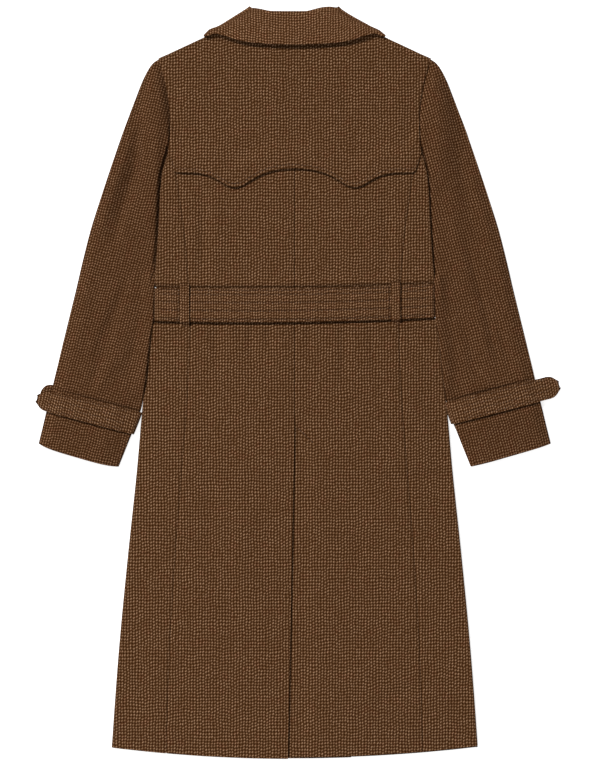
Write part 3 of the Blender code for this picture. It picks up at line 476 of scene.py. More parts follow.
def bodyTopY(x):  # neckline, then the shoulder line
    neckX, neckY = body["neck"]
    if abs(x) < neckX:
        return neckY - body["neckDrop"] * (1 - (x / neckX) ** 2)
    return neckY - shoulderSlope * (abs(x) - neckX)


def backUnder(x, y):  # crowned over the fronts, lower at the sides
    across = min(abs(x) / halfWidth(y), 1.0)
    return blend(bodyAt["crown"](y), bodyAt["edge"](y), across ** 2)


def backTop(x, y):
    return backUnder(x, y) + cloth["wall"]


rollStations = [1 + 3 * k / 8 for k in range(1, 9)] + [5.0]  # a quarter round, then a short straight strip


def rolled(step, face, middle, radius, strength):  # inset from an edge and height there
    sign = 1 if face > middle else -1
    rim = middle + sign * cloth["foldGap"] / 2
    lip = rim + sign * cloth["foldLip"]
    angle = min(step / 3, 1.0) * math.pi / 2
    inset = min(radius, abs(face - lip)) * (1 - math.sin(angle))
    height = lip + (face - lip) * math.cos(angle)
    if step > 3:
        inset, height = 0.0, rim
    return blend(radius * (1 - step / 4), inset, strength), blend(face, height, strength)


def backStrength(y):  # how far the back's edge is a fold, none at the armhole
    return spread(y - body["armpit"][1], *body["backFold"])


def frontStrength(y):  # the front's fold flattens before the armhole and turns in again at the shoulder
    most, level, slope = body["shoulderFold"]
    side = spread(y - body["armpit"][1], *body["frontFold"])
    return max(side, most * spread(body["shoulder"][1] - y, level, slope))


def edgeSlant(y):
    return math.hypot(1.0, shoulderSlope) / shoulderSlope if y > body["shoulder"][1] else 1.0


def foldedSide(u, inner, y, face, strength):  # u above 1 is in the fold
    armhole = body["armpit"][1] < y < body["shoulder"][1]
    edge = halfWidth(y) - (cloth["seam"] if armhole else 0.0)
    level = edge - cloth["foldRadius"] * edgeSlant(y)
    if u <= 1:
        x = blend(inner, level, u)
        return x, face(x, y)
    inset, height = rolled(u - 1, face(level, y), bodyAt["middle"](y), cloth["foldRadius"], strength(y))
    return edge - inset * edgeSlant(y), height


# back: two centre panels, two side panels and the yoke

yoke = {
    "edge": (  # lower edge from the middle outwards, with a rounded point on each side
        (0.000, 0.3205), (0.022, 0.3188), (0.042, 0.3142), (0.063, 0.3043), (0.079, 0.2948), (0.09, 0.2921),
        (0.1, 0.2945), (0.115, 0.303), (0.131, 0.3105), (0.15, 0.314), (0.178, 0.3145), (0.19, 0.345),
    ),
    "lap": 0.012, "lift": 0.0036, "liftLevel": 0.024, "liftSlope": 0.024,
    "corner": (0.164, 0.018), "cornerDrop": 0.0009, "cornerLap": 0.02,  # its ends lie closer to the panels
    "creases": (
        ((75, 470, 78, 420, 74, 372), -0.7, 8), ((-104, 478, -112, 430, -98, 372), -0.9, 16),
        ((-30, 500, -34, 440, -26, 345), 0.6, 14), ((150, 478, 158, 420, 150, 350), 0.8, 12),
        ((-160, 470, -166, 420, -158, 340), 0.8, 11), ((30, 470, 24, 410, 32, 350), -0.5, 10),
    ),
    "neckFold": 0.008, "tipFold": (-0.02, 0.02), "seamDip": 0.0008,  # its top fold fades at neck and shoulder tip
    "collarPress": (0.003, 0.004), "collarFade": 0.2, "swell": (0.06, 0.0004, 2.0),
    "stitchInset": 0.005,
    "cut": {"flat": (0.412, 0.262), "area": 0.081},
}
back = {
    "ventTop": -0.064, "ventShift": 0.01, "ventUnderlap": 0.045, "ventSlope": 0.036,
    "top": 0.324, "topBlend": 0.07, "topMost": 0.01,
    "underVent": (0.006, 0.03), "ventFade": (0.004, 0.012), "ventTack": ((0.004, 0.029), (-0.068, -0.092)),
    "seamDip": 0.001, "seamWidth": 0.0018, "centreDip": 0.0007,
    "beltPress": (0.0036, 0.003, 0.0014), "aboveBelt": 0.6,  # groove, width and swell, share above it
    "yokePress": (0.002, 0.0024), "ventPress": (0.0026, 0.0026), "swell": (0.055, 0.0005, 1.0),
    "levels": (0.08, 0.1, 0.133, 0.156, 0.296), "coarse": 0.006, "fine": 0.0012,  # rows by belt and yoke are closer
    "creases": (
        ((-138, 298, -136.5, 230, -139, 146), -2.8, 7.5), ((-120, 285, -116, 220, -122, 150), 1.4, 10),
        ((136, 292, 139, 220, 134, 146), -1.8, 7), ((52, 215, 58, 180, 54, 145), -0.7, 9),
        ((-60, 230, -66, 190, -58, 145), -0.6, 11), ((-64, 96, -66, 66, -62, 26), -2.6, 6),
        ((-117, 98, -118, 60, -114, 10), -2.4, 7), ((-90, 92, -92, 60, -88, 34), 1.4, 9),
        ((71, 94, 74, 44, 72, -10), -2.1, 7), ((112, 96, 116, 56, 122, 12), -1.7, 8),
        ((-20, 88, -22, 54, -18, 20), 1, 10), ((-36, 94, -40, 72, -36, 46), -2, 5),
        ((22, 92, 20, 66, 26, 38), -1.4, 6), ((-88, 94, -84, 78, -86, 58), -1.6, 5),
        ((-132, -20, -126, -160, -134, -300), -0.9, 15), ((-74, -80, -80, -230, -72, -410), 1, 20),
        ((86, -60, 92, -230, 84, -420), -0.9, 16), ((128, -142, 168, -146, 218, -139), -1.6, 8),
        ((120, -476, 154, -470, 190, -455), -1.4, 9), ((3, -66, 14, -78, 29, -92), -1.6, 5),
        ((-205, 20, -214, -90, -222, -210), 0.8, 16), ((206, 10, 216, -80, 226, -230), -0.7, 14),
        ((-225, -250, -234, -380, -240, -500), -0.6, 15), ((-140, -470, -100, -476, -50, -468), -0.5, 10),
    ),
    "leftCut": {"flat": (0.196, 0.892), "area": 0.151},
    "rightCut": {"flat": (0.24, 0.892), "area": 0.174},
    "sideCut": {"flat": (0.092, 0.9), "area": 0.057},
}
yokeEdgeAt = curvesOf(yoke["edge"], "y")["y"]


def yokeEdgeY(x):
    return yokeEdgeAt(abs(x))


def shapedY(level, x):  # follows the hem at the bottom and the lapped yoke edge at the top
    top = min(yokeEdgeY(x) + yoke["lap"], body["armholeLow"][1] + back["topMost"])
    toTop = (top - back["top"]) * spread(back["top"] - level, 0.0, back["topBlend"])
    return level + (hemY(x) - body["hemY"]) * hemShare(level) + toTop


def ventEdge(side, y):  # the seam, then the vent's lap below it
    half = cloth["seam"] / 2
    if y >= back["ventTop"]:
        return -half if side == "left" else half
    if side == "left":
        return -half - back["ventShift"] * (back["ventTop"] - y) / (back["ventTop"] - body["hemY"])
    return half - back["ventUnderlap"] * min((back["ventTop"] - y) / back["ventSlope"], 1.0)


def underVent(x, y):  # drop of the right panel where it passes under the left one
    level, slope = back["underVent"]
    return (cloth["wall"] + cloth["layer"]) * spread(x, level, slope) * spread(y - back["ventTop"], 0.0, slope)


def seamDip(off, depth=back["seamDip"]):  # edges of a pressed seam roll down into it
    return -depth * bell(off, back["seamWidth"])


def pressed(off, groove, width, ridge=0.0):  # a crease beside an edge that lies on the cloth, then a swell
    swell = ridge * np.exp(-((off - 3 * width) / (2 * width)) ** 2)
    return swell - groove * np.exp(-((off - width / 2) / width) ** 2)


def backRelief(points):
    x, y = points[:, 0], points[:, 1]
    offBelt = np.abs(y - beltMiddle(x)) - belt["width"] / 2
    offYoke = np.array([yokeEdgeY(at) for at in x]) - y
    low = np.where(y < beltMiddle(x), 1.0, back["aboveBelt"])
    inside = np.array([1 - yokeCorner(at) for at in x])
    lines = pressed(offBelt, *back["beltPress"]) * low + pressed(offYoke, *back["yokePress"]) * inside
    return mapped(points, back["creases"]) + ripple(points, *back["swell"]) + lines


def ventRelief(points):  # the right panel is also pressed beside the edge that laps it
    offVent = np.array([x - ventEdge("left", y) for x, y, _ in points])
    above, over = back["ventFade"]
    below = ramp(-points[:, 1], -back["ventTop"] - above, over)
    return backRelief(points) + pressed(offVent, *back["ventPress"]) * below


backLevels = evenly(body["hemY"], back["ventTop"], back["coarse"])
levelEnds = (back["ventTop"], *back["levels"], back["top"])
for i, (low, high) in enumerate(zip(levelEnds, levelEnds[1:])):  # every other stretch is fine
    backLevels += evenly(low, high, back["fine" if i % 2 else "coarse"])[1:]


def centreBack(side):
    sign = signs[side]

    def place(u, level):
        inner = ventEdge(side, level)
        outer = sign * (bodyAt["princess"](level) - cloth["seam"] / 2)
        x = blend(inner, outer, u)
        y = shapedY(level, x)
        z = backTop(x, y) + seamDip(abs(x - outer))
        if level >= back["ventTop"]:
            z += seamDip(abs(x - inner), back["centreDip"])
        if side == "right":
            y += body["rightHemRise"] * hemShare(level)
            z -= underVent(x, y)
        return x, y, z, x, y

    across = stations(0.18)
    if side == "right":  # closer together where the vent's edge lies
        across = evenly(0.0, 0.14, 0.02) + evenly(0.15, 0.29, 0.006) + [u for u in across if u > 0.3]
    relief = ventRelief if side == "right" else backRelief
    return sewSheet(f"back_{side}", across[::sign], backLevels, place, relief=relief)


def sideBack(side):
    sign = signs[side]

    def place(u, level):
        inner = bodyAt["princess"](level) + cloth["seam"] / 2
        x, _ = foldedSide(u, inner, level, backTop, backStrength)
        y = shapedY(level, x)
        atY = y if level > body["armpit"][1] - 0.05 else level
        x, z = foldedSide(u, inner, atY, backTop, backStrength)
        z += seamDip(x - inner)
        if side == "right":
            y += body["rightHemRise"] * hemShare(level)
        return sign * x, y, z, sign * (x + max(u - 1, 0.0) * body["foldWeave"]), y

    across = [u for u in stations(0.065) if u < 0.96] + [1.0] + rollStations
    return sewSheet(f"side_back_{side}", across[::sign], backLevels, place, relief=backRelief)


def yokeCorner(x):
    return ease((abs(x) - yoke["corner"][0]) / yoke["corner"][1])


def yokeLift(x, y):  # over the tops of the back panels
    corner = yokeCorner(x)
    lift = yoke["lift"] - yoke["cornerDrop"] * corner
    return lift * spread(y - yokeEdgeY(x), yoke["liftLevel"] + yoke["cornerLap"] * corner, yoke["liftSlope"])


def yokePoint(c, v):
    radius, seam = cloth["foldRadius"], cloth["seam"]
    lowX = c * (body["armholeLow"][0] - seam)
    topX = c * (body["shoulder"][0] - seam)
    lowY, topY = yokeEdgeY(lowX), bodyTopY(topX) - seam
    y = blend(lowY, topY - radius, min(v, 1.0))
    height = None
    if v > 1:
        folded = ease((abs(topX) - body["neck"][0]) / yoke["neckFold"])
        folded *= spread(abs(topX) - body["shoulder"][0], *yoke["tipFold"])
        inset, height = rolled(v - 1, backTop(topX, topY - radius), bodyAt["middle"](topY), radius, folded)
        y = topY - inset
    t = (y - lowY) / (topY - lowY)
    x = blend(lowX, topX, t) - body["armholeHollow"] * 4 * t * (1 - t) * c * abs(c) ** 3
    if height is None:
        height = backTop(x, y) + yokeLift(x, y)
    dip = seamDip((1 - abs(c)) * body["shoulder"][0], yoke["seamDip"])
    return x, y, height + dip, x, y + max(v - 1, 0.0) * body["foldWeave"]


def makeYoke():
    def relief(points):
        edge = collar["edge"]
        share = np.abs(points[:, 0]) / edge["crease"][0]
        offCollar = edge["middle"] + (edge["crease"][1] - edge["middle"]) * share ** 2 - points[:, 1]
        under = pressed(offCollar, *yoke["collarPress"]) * ramp(1.0 - share, 0.0, yoke["collarFade"])
        return mapped(points, yoke["creases"]) + ripple(points, *yoke["swell"]) + under

    across = [2 * u - 1 for u in stations(0.4, 0.0033)]
    along = [v for v in stations(0.23, 0.0035) if v < 0.99] + [1.0] + rollStations
    return sewSheet("back_yoke", across, along, yokePoint, relief=relief)


# fronts and lapels, on the underside

front = {
    "edgeX": 0.085, "breakY": 0.33, "top": 0.538, "beltLevel": 0.01, "lapLevel": 0.012,
    "buttonColumn": 0.055, "buttonRows": (0.245, -0.005, -0.13), "buttonThick": 0.0042,
    "creases": (  # raised off the floor, so they are troughs from the front
        ((-140, 280, -136, 210, -142, 150), 1.2, 8), ((150, 290, 146, 220, 152, 150), 1, 7),
        ((-110, 85, -116, 30, -108, -40), 1.2, 8), ((118, 86, 112, 20, 120, -60), 1.3, 9),
        ((-180, -120, -150, -128, -110, -120), 0.9, 9), ((60, -220, 66, -330, 58, -450), 1.1, 16),
        ((-90, -200, -98, -320, -88, -460), 1, 18), ((190, -60, 200, -180, 206, -300), 0.9, 15),
    ),
    "cut": {"flat": (0.362, 1.104), "area": 0.325},
}
lapel = {
    "right": ((-0.08, 0.336, 0.12, 0.42), (0.031, 0.493, 0.095, 0.456)),  # inner end, outer end of a row
    "left": (
        (-0.05, 0.39, -0.12, 0.42), (-0.006, 0.458, -0.108, 0.438), (-0.031, 0.493, -0.095, 0.456),
    ),
    "rightCut": {"flat": (0.217, 0.13), "area": 0.0118}, "leftCut": {"flat": (0.11, 0.1), "area": 0.0065},
}
collar = {
    "wall": 0.0022,
    "fold": {"middle": 0.556, "crease": (0.0685, 0.5634), "end": (0.034, 0.5), "height": 0.017, "drop": 0.0012,
             "inset": 0.0079, "lift": 0.0},
    "edge": {"middle": 0.5055, "crease": (0.1366, 0.5206), "end": (0.112, 0.455), "height": 0.0182, "drop": 0.003,
             "inset": 0.003, "lift": 0.0068},
    "standHalf": 0.06, "neckSeam": 0.0014, "standInset": 0.0016,
    "cornerFill": {"left": (0.45, 0.55, 0.0038), "right": (0.2, 0.5, 0.006)},  # from, over, height
    "sideBulge": {"left": 0.0032, "right": 0.0018}, "bulgeAt": (0.16, 0.12),  # as shares from edge to fold
    "sideHollow": {"left": 0.0, "right": 0.002}, "hollowAt": (0.85, 0.35),
    "liftAt": (0.86, 0.2), "liftEnd": (0.88, 0.12),  # where its edge rises, as shares of its half
    "rollEnd": (0.95, 0.35), "bowTop": 0.2, "bowLow": 0.3,
    "foldWeave": 0.004, "lowWeave": 0.07,
    "high": (0.012, 0.003), "swell": (0.03, 0.0004, 5.0),
    "fallCut": {"flat": (0.47, 0.085), "area": 0.0245},
    "standCut": {"flat": (0.124, 0.035), "area": 0.0032},
}
sleeve = {
    "rows": (  # outer fold, inner fold, from armhole to cuff
        (0.206, 0.486, 0.174, 0.33), (0.2225, 0.464, 0.1735, 0.313), (0.2395, 0.43, 0.173, 0.296),
        (0.258, 0.383, 0.173, 0.277), (0.275, 0.332, 0.174, 0.255), (0.2905, 0.283, 0.1775, 0.228),
        (0.3065, 0.23, 0.189, 0.197), (0.3185, 0.183, 0.2085, 0.172), (0.3285, 0.14, 0.2134, 0.148),
        (0.3395, 0.095, 0.219, 0.066), (0.3505, 0.05, 0.2254, 0.015), (0.3615, 0.003, 0.2345, -0.031),
        (0.373, -0.044, 0.248, -0.078), (0.385, -0.092, 0.2645, -0.1268),
    ),
    "innerLine": (  # level and place of the inner fold below the armpit, where it rests on the side of the body
        (-0.1268, 0.2645), (-0.078, 0.2448), (-0.05, 0.2338), (-0.031, 0.2283), (0.015, 0.2216), (0.066, 0.216),
        (0.095, 0.211), (0.122, 0.2103), (0.148, 0.209), (0.172, 0.2062), (0.197, 0.189),
    ),
    "innerLift": 0.0075,
    "cuffBow": {"left": 0.0042, "right": 0.0014},
    "crest": 0.0082, "low": 0.0056, "tuckY": 0.16, "rise": 0.0042,
    "capTurnY": 0.348, "capTurnShare": 0.785, "capFade": 6.0, "clear": -0.0016, "capDrop": 0.0021,
    "grain": math.radians(14.5),
    "headRound": 0.0046, "headLift": 0.005,
    "puff": 0.0042, "puffOuter": 0.14, "puffInner": 0.3, "puffHead": 0.9,  # and where its soft round begins
    "high": (0.0055, 0.002), "swell": (0.05, 0.0006, 3.0), "strapPress": (-0.0026, 0.003),
    "lapSpread": (0.042, 0.018), "lapAbove": (0.012, 0.024),  # how the front lies over it
    "tuckFade": (0.01, 0.014, 0.0008), "restFrom": 0.8,
    "headAt": (1.0, 1.0), "headLiftAt": (0.45, 0.5), "capRows": (0.06, 0.45),  # row, and over how many
    "restRows": ((7.2, 0.7), (10.3, 0.7)), "bodyRow": 6, "slimRows": (7.5, 1.5), "cuffRow": 12,
    "step": 0.11, "fine": 0.02,  # rows are closer beside the strap
    "creases": {
        "left": (
            ((-202, 466, -206, 370, -212, 290, -220, 216), 5, 10, 24),
            ((-224, 452, -232.1, 401.3, -235.1, 348.8, -238.1, 318.8, -248.6, 288.8, -260.6, 251.3, -273, 198),
             -8.8, 6, 15),
            ((-262, 390, -278, 300, -296, 220), 2.2, 14), ((-252, 160, -278, 70, -308, -12), -3, 7),
            ((-268, 124, -288, 70, -306, 24), -2.2, 6), ((-300, 180, -318, 110, -330, 40), 1.4, 10),
            ((-262, 50, -280, 14, -300, -20), 1.6, 7), ((-236, 70, -250, 30, -266, -14), -1.4, 8),
            ((-310, 150, -326, 90, -340, 30), -1.2, 7),
        ),
        "right": (
            ((208, 466, 216, 380, 214, 288), 4.6, 18, 12),
            ((234, 444, 248, 370, 254, 310, 264, 262, 278, 200), -5.4, 18, 14),
            ((272, 350, 292, 262, 304, 190), -2.2, 10), ((228, 280, 246, 200, 262, 120), 2.2, 10),
            ((256, 215, 286, 110, 310, 18), -2.8, 7), ((293, 130, 310, 70, 326, 4), -2.2, 6),
            ((236, 130, 262, 60, 276, -6), -1.8, 7), ((270, 110, 284, 60, 296, 0), 1.4, 8),
            ((250, -16, 276, -20, 312, -4), -0.8, 7),
        ),
    },
    "underCreases": {
        "left": (
            ((-250, 300, -268, 210, -284, 130), 1.3, 10), ((-290, 110, -306, 50, -318, -10), 1.1, 8),
            ((-262, 90, -280, 30, -290, -10), 1, 7),
        ),
        "right": (
            ((244, 320, 262, 230, 276, 150), 1.2, 11), ((286, 150, 302, 80, 312, 20), 1.3, 8),
            ((300, 60, 322, 40, 344, 28), 0.9, 7),
        ),
    },
    "cut": {"flat": (0.3, 0.64), "area": 0.133},
}
strap = {
    "thick": 0.0024, "gap": 0.001,
    "start": {"left": 11.3, "right": 10.98}, "span": 0.69,  # in rows of the sleeve
    "taper": {"left": 0.075, "right": 0.0}, "taperLength": 0.12,
    "tip": {"left": 0.017, "right": 0.0318}, "point": 0.016, "tipRound": 0.97, "tipBow": 0.0007,
    "end": {"left": -0.015, "right": 0.014}, "endShift": {"left": 0.17, "right": 0.0},
    "liftMargin": 0.35, "liftBelow": 0.15, "liftFade": 0.6, "tipDrop": 0.003,
    "rows": (0.1, 0.37, 0.63, 0.9), "rowPress": (0.0006, 0.0011), "width": 0.033,
    "endLength": 0.06, "stitchEnd": 0.12,
    "cut": {"flat": (0.033, 0.3), "area": 0.0096},
}
sleeveAt = curvesOf(sleeve["rows"], "outerX outerY innerX innerY", keyed=False)
innerLineX = curvesOf(sleeve["innerLine"], "x")["x"]
tuckX = curvesOf(sorted((row[3], row[2]) for row in sleeve["rows"][:9]), "x")["x"]


def outside(corners, x, y):  # distance outside an outline given anticlockwise
    far = -1.0
    for (ax, ay), (bx, by) in zip(corners, corners[1:] + corners[:1]):
        far = max(far, ((x - ax) * (by - ay) - (y - ay) * (bx - ax)) / math.hypot(bx - ax, by - ay))
    return far


def lapelCorners(side):
    ring = [row[2:] for row in lapel[side]] + [row[:2] for row in lapel[side]][::-1]
    return ring if side == "right" else ring[::-1]


def collarCorners(side):
    sign = signs[side]
    fold, edge = collar["fold"], collar["edge"]
    ring = [(sign * x, y) for x, y in (fold["end"], edge["end"], edge["crease"], fold["crease"])]
    return ring if side == "right" else ring[::-1]


corners = {side: (lapelCorners(side), collarCorners(side)) for side in signs}


def beltFloor(x):  # the front stretch passes over the buckle
    off = abs(x) - belt["buckle"][0] / 2
    return (belt["buckleThick"] + cloth["layer"]) * spread(off, belt["floorLevel"], belt["floorSlope"])


def sideLift(x, y):  # over the tucked sleeve
    level, slope = sleeve["lapSpread"]
    across = spread(tuckX(y) - abs(x), level, cloth["slopeRound"])
    below = spread(sleeve["tuckY"] - y, 0.0, slope)
    above = spread(y - sleeve["capTurnY"], *sleeve["lapAbove"])
    return (sleeve["low"] + cloth["layer"]) * across * min(below, above)


def liftOver(height, off):  # how far a layer is lifted by something under it
    return (height + cloth["layer"]) * spread(off, cloth["levelRound"], cloth["slopeRound"])


def frontRest(x, y):
    offBelt = abs(y - beltMiddle(x)) - belt["width"] / 2
    overBelt = beltFloor(x) + belt["thick"] + 2 * cloth["layer"]
    overBelt *= spread(offBelt, front["beltLevel"], cloth["slopeRound"])
    offCollar = outside(corners["right" if x > 0 else "left"][1], x, y)
    return max(overBelt, sideLift(x, y), liftOver(collar["wall"], offCollar))


def overLapel(side, x, y):
    return liftOver(cloth["wall"], outside(corners[side][0], x, y))


def outerFront(x, y):
    lifts = [frontRest(x, y), overLapel("right", x, y)]
    for row in front["buttonRows"]:
        lifts.append(liftOver(front["buttonThick"], math.hypot(abs(x) - front["buttonColumn"], y - row)))
    return max(lifts)


def frontEdgeX(y):  # straight to the break, then along the lapel's roll line to the neck
    if y < front["breakY"]:
        return -front["edgeX"]
    up = (y - front["breakY"]) / (body["neck"][1] - front["breakY"])
    return blend(-front["edgeX"], body["neck"][0], up)


def innerFront(x, y):
    lapped = spread(frontEdgeX(y) - x, front["lapLevel"], cloth["slopeRound"])
    overRight = (outerFront(x, y) + cloth["wall"] + 4 * cloth["layer"]) * lapped
    return max(frontRest(x, y), overLapel("left", x, y), overRight)


def makeFront(side):
    sign = signs[side]
    height = innerFront if side == "left" else outerFront

    def face(at, y):
        return height(sign * at, y)

    def place(u, level):
        x, z = foldedSide(u, frontEdgeX(level), level, face, frontStrength)
        y = level + (hemY(x) - body["hemY"]) * hemShare(level)
        return sign * x, y, z, sign * x, y

    across = evenly(0.0, 1.0, 0.02) + rollStations
    along = evenly(body["hemY"], front["top"], 0.007)
    return sewSheet(f"front_{side}", across[::sign], along, place, inward=1,
                    relief=lambda points: mapped(points, front["creases"]))


def makeLapel(side):
    sign = signs[side]
    table = curvesOf(lapel[side], "innerX innerY outerX outerY", keyed=False)

    def place(u, row):
        x = blend(table["innerX"](row), table["outerX"](row), u)
        y = blend(table["innerY"](row), table["outerY"](row), u)
        return x, y, 0.0, x, y

    along = evenly(0.0, len(lapel[side]) - 1, 0.06)
    return sewSheet(f"lapel_{side}", evenly(0.0, 1.0, 0.05)[::sign], along, place, inward=1)


# belt and its loops

def beltPoint(kind, at, v):
    offset = (v - 0.5) * belt["width"]
    edgeZ = backTop(sideX(belt["y"]), belt["y"]) + belt["gap"] + belt["thick"]
    radius = edgeZ / 2
    run = belt["half"] - radius
    if kind == "turn":
        angle = math.radians(at)
        end = run if abs(at) < 90 else -run
        x = end + radius * math.cos(angle)
        along = x + (radius if end > 0 else -radius) * (1 - math.sin(angle))
        return x, beltMiddle(x) + offset, radius + radius * math.sin(angle), along, offset
    x = at * run
    y = beltMiddle(x) + offset
    if kind == "low":
        return x, y, beltFloor(x), 1.0 - x, offset
    top = backTop(x, beltMiddle(x)) + belt["gap"] + belt["thick"]
    z = blend(top, edgeZ, ease((abs(at) - 1) / belt["endBlend"] + 1))
    depth, width = belt["rowPress"]
    for row in belt["rows"]:
        z -= depth * bell((v - row) * belt["width"], width)
    depth, width = belt["loopPress"]
    for loopX in belt["loopX"].values():
        z -= depth * bell(abs(x - loopX) - belt["loopWidth"] / 2 - belt["loopOff"], width)
    puff = belt["puff"] * (1 - abs(2 * v - 1) ** 6)
    return x, y, z + puff * ease((1 - abs(at)) / belt["puffEnd"]), x, offset


def makeBelt():
    turns = evenly(75, -75, 15)
    coarse, fine = belt["coarse"], belt["fine"]  # closer together at the loops
    tops = evenly(-1.0, -0.86, coarse) + evenly(-0.855, -0.755, fine) + evenly(-0.74, 0.68, coarse)
    tops += evenly(0.69, 0.79, fine) + evenly(0.8, 1.0, coarse)
    around = tagged("top", tops) + tagged("turn", turns)
    around += tagged("low", evenly(1.0, -1.0, 0.025)) + [("turn", -180 - t) for t in turns[::-1]]
    around.append(around[0])
    across = stations(belt["width"], 0.001, (0.0, 0.0005))
    return sewSheet("belt", around, across, lambda s, v: beltPoint(*s, v), "litTrimTweed", belt["thick"], ring=True)


def makeLoop(side):
    half, middleX = belt["width"] / 2, belt["loopX"][side]
    low = cloth["layer"] + belt["loopThick"]
    high = belt["gap"] + belt["thick"] + 4 * cloth["layer"] + belt["loopThick"]

    def place(u, offset):
        over = spread(abs(offset) - half, *belt["loopTurn"])
        y = beltMiddle(middleX) + offset
        x = middleX + u * belt["loopWidth"]
        z = backTop(middleX, y) + blend(low, high, over) - belt["loopEdge"] * (2 * u) ** 4
        return x, y, z, x, y

    across = [u - 0.5 for u in stations(belt["loopWidth"], 0.002, (0.0, 0.0006))]
    ends = half + belt["loopTail"]
    along = evenly(-ends, -half + 0.002, 0.0008) + evenly(-half + 0.004, half - 0.004, 0.004)
    along += evenly(half - 0.002, ends, 0.0008)
    return sewSheet(f"belt_loop_{side}", across, along, place, "litTrimTweed", belt["loopThick"])


# sleeves and cuff straps

def strapBand(side, v):
    start = strap["start"][side]
    above, below = start - strap["liftMargin"] - v, v - start - strap["span"] - strap["liftBelow"]
    return spread(max(above, below), 0.0, strap["liftFade"])


def sleeveCap(across):  # along the armhole, then curling in under the body
    turnY, share = sleeve["capTurnY"], sleeve["capTurnShare"]
    if across <= share:
        y = blend(body["shoulder"][1], turnY, across / share)
        return armholeX(y) + sleeve["clear"], y
    turn = (across - share) / (1 - share) * math.pi / 2
    innerX, innerY = sleeve["rows"][0][2:]
    return blend(innerX, armholeX(turnY) + sleeve["clear"], math.cos(turn)), blend(turnY, innerY, math.sin(turn))


def straightPoint(v, across):
    (roundAt, roundWide), (liftAt, liftWide) = sleeve["headAt"], sleeve["headLiftAt"]
    outerX = sleeveAt["outerX"](v) + sleeve["headRound"] * bell(v - roundAt, roundWide)
    outerY = sleeveAt["outerY"](v) + sleeve["headLift"] * bell(v - liftAt, liftWide)
    innerY = sleeveAt["innerY"](v)
    innerX = innerLineX(innerY) if v > sleeve["bodyRow"] else sleeveAt["innerX"](v)
    return blend(outerX, innerX, across), blend(outerY, innerY, across)


def sectionPoint(v, across):
    x, y = straightPoint(v, across)
    if v < sleeve["capFade"] and 0 <= across <= 1:
        capX, capY = sleeveCap(across)
        firstX, firstY = straightPoint(0.0, across)
        x += (capX - firstX) * (1 - v / sleeve["capFade"])
        y += (capY - firstY) * (1 - v / sleeve["capFade"])
    return x, y


def sectionWidth(v):
    return math.dist(sectionPoint(v, 0.0), sectionPoint(v, 1.0))


def foldShare(v, end):  # share of a section for each unit square to its fold line
    before = Vector(sectionPoint(max(v - 0.1, 0.0), end))
    after = Vector(sectionPoint(min(v + 0.1, len(sleeve["rows"]) - 1), end))
    fold = (after - before).normalized()
    step = 0.02
    near, far = max(end - step, 0.0), min(end + step, 1.0)
    along = (Vector(sectionPoint(v, far)) - Vector(sectionPoint(v, near))) / step
    return 1.0 / max(abs(fold.cross(along)), 0.35 * along.length)


def sleeveFloor(side, v):
    return (strap["thick"] + cloth["layer"]) * strapBand(side, v)


def tuckedShare(x, y):  # one where the body lies on the sleeve
    high, low, level = sleeve["tuckFade"]
    between = spread(y - sleeve["capTurnY"], 0.0, high) * spread(sleeve["tuckY"] - y, 0.0, low)
    return between * spread(x - halfWidth(min(y, sleeve["capTurnY"])), level, sleeve["rise"])


def innerLift(v, across):  # the inner fold rests on the side of the body and the belt
    (first, over), last = sleeve["restRows"]
    share = ease((across - sleeve["restFrom"]) / (1 - sleeve["restFrom"]))
    return sleeve["innerLift"] * ease((v - first) / over) * spread(v, *last) * share


def sleeveTop(side, v, across):
    x, y = sectionPoint(v, clamp(across))
    lift = 0.5 * sleeveFloor(side, v)
    return blend(sleeve["crest"] + lift, sleeve["low"] + lift, tuckedShare(x, y))


def sleeveFace(side, v, across):  # the top with its soft round, low in the seam and beside the body
    x, y = sectionPoint(v, across)
    free = 1 - tuckedShare(x, y)
    first, over = sleeve["slimRows"]
    inner = blend(1.0, ease((1 - across) / sleeve["puffInner"]), ease((v - first) / over))
    puff = sleeve["puff"] * ease(across / sleeve["puffOuter"]) * inner * ease(v / sleeve["puffHead"])
    lift = (puff - sleeve["capDrop"] * spread(v, *sleeve["capRows"])) * free
    return sleeveTop(side, v, across) + lift + innerLift(v, across)


def sleevePoint(side, v, kind, at):
    floor = sleeveFloor(side, v)
    radius, across = 0.0, at
    if kind == "outer":
        radius = (sleeveTop(side, v, 0.0) - floor) / 2
        across = radius * foldShare(v, 0.0) * (1 - math.cos(math.radians(at)))
    elif kind == "inner":
        radius = (sleeveTop(side, v, 1.0) - floor) / 2
        across = 1 - radius * foldShare(v, 1.0) * (1 - math.cos(math.radians(at)))
    x, y = sectionPoint(v, across)
    if kind == "top":
        z = sleeveFace(side, v, across)
    else:
        z = floor + radius * (1 + math.sin(math.radians(at))) if radius else floor
        z += innerLift(v, across)
    y -= sleeve["cuffBow"][side] * (1 - (2 * clamp(across) - 1) ** 4) * ease(v - sleeve["cuffRow"])
    return x, y, z


def sleeveWeave(side, v, kind, at, x, y):  # the grain turns with the sleeve and goes on round the outer fold
    cosine, sine = math.cos(sleeve["grain"]), math.sin(sleeve["grain"])
    acrossGrain = x * cosine + y * sine
    alongGrain = y * cosine - x * sine
    if kind == "low" or (kind != "top" and at < 0):
        foldX, foldY = sectionPoint(v, 0.0)
        acrossGrain = 2 * (foldX * cosine + foldY * sine) - acrossGrain
    return signs[side] * acrossGrain, alongGrain


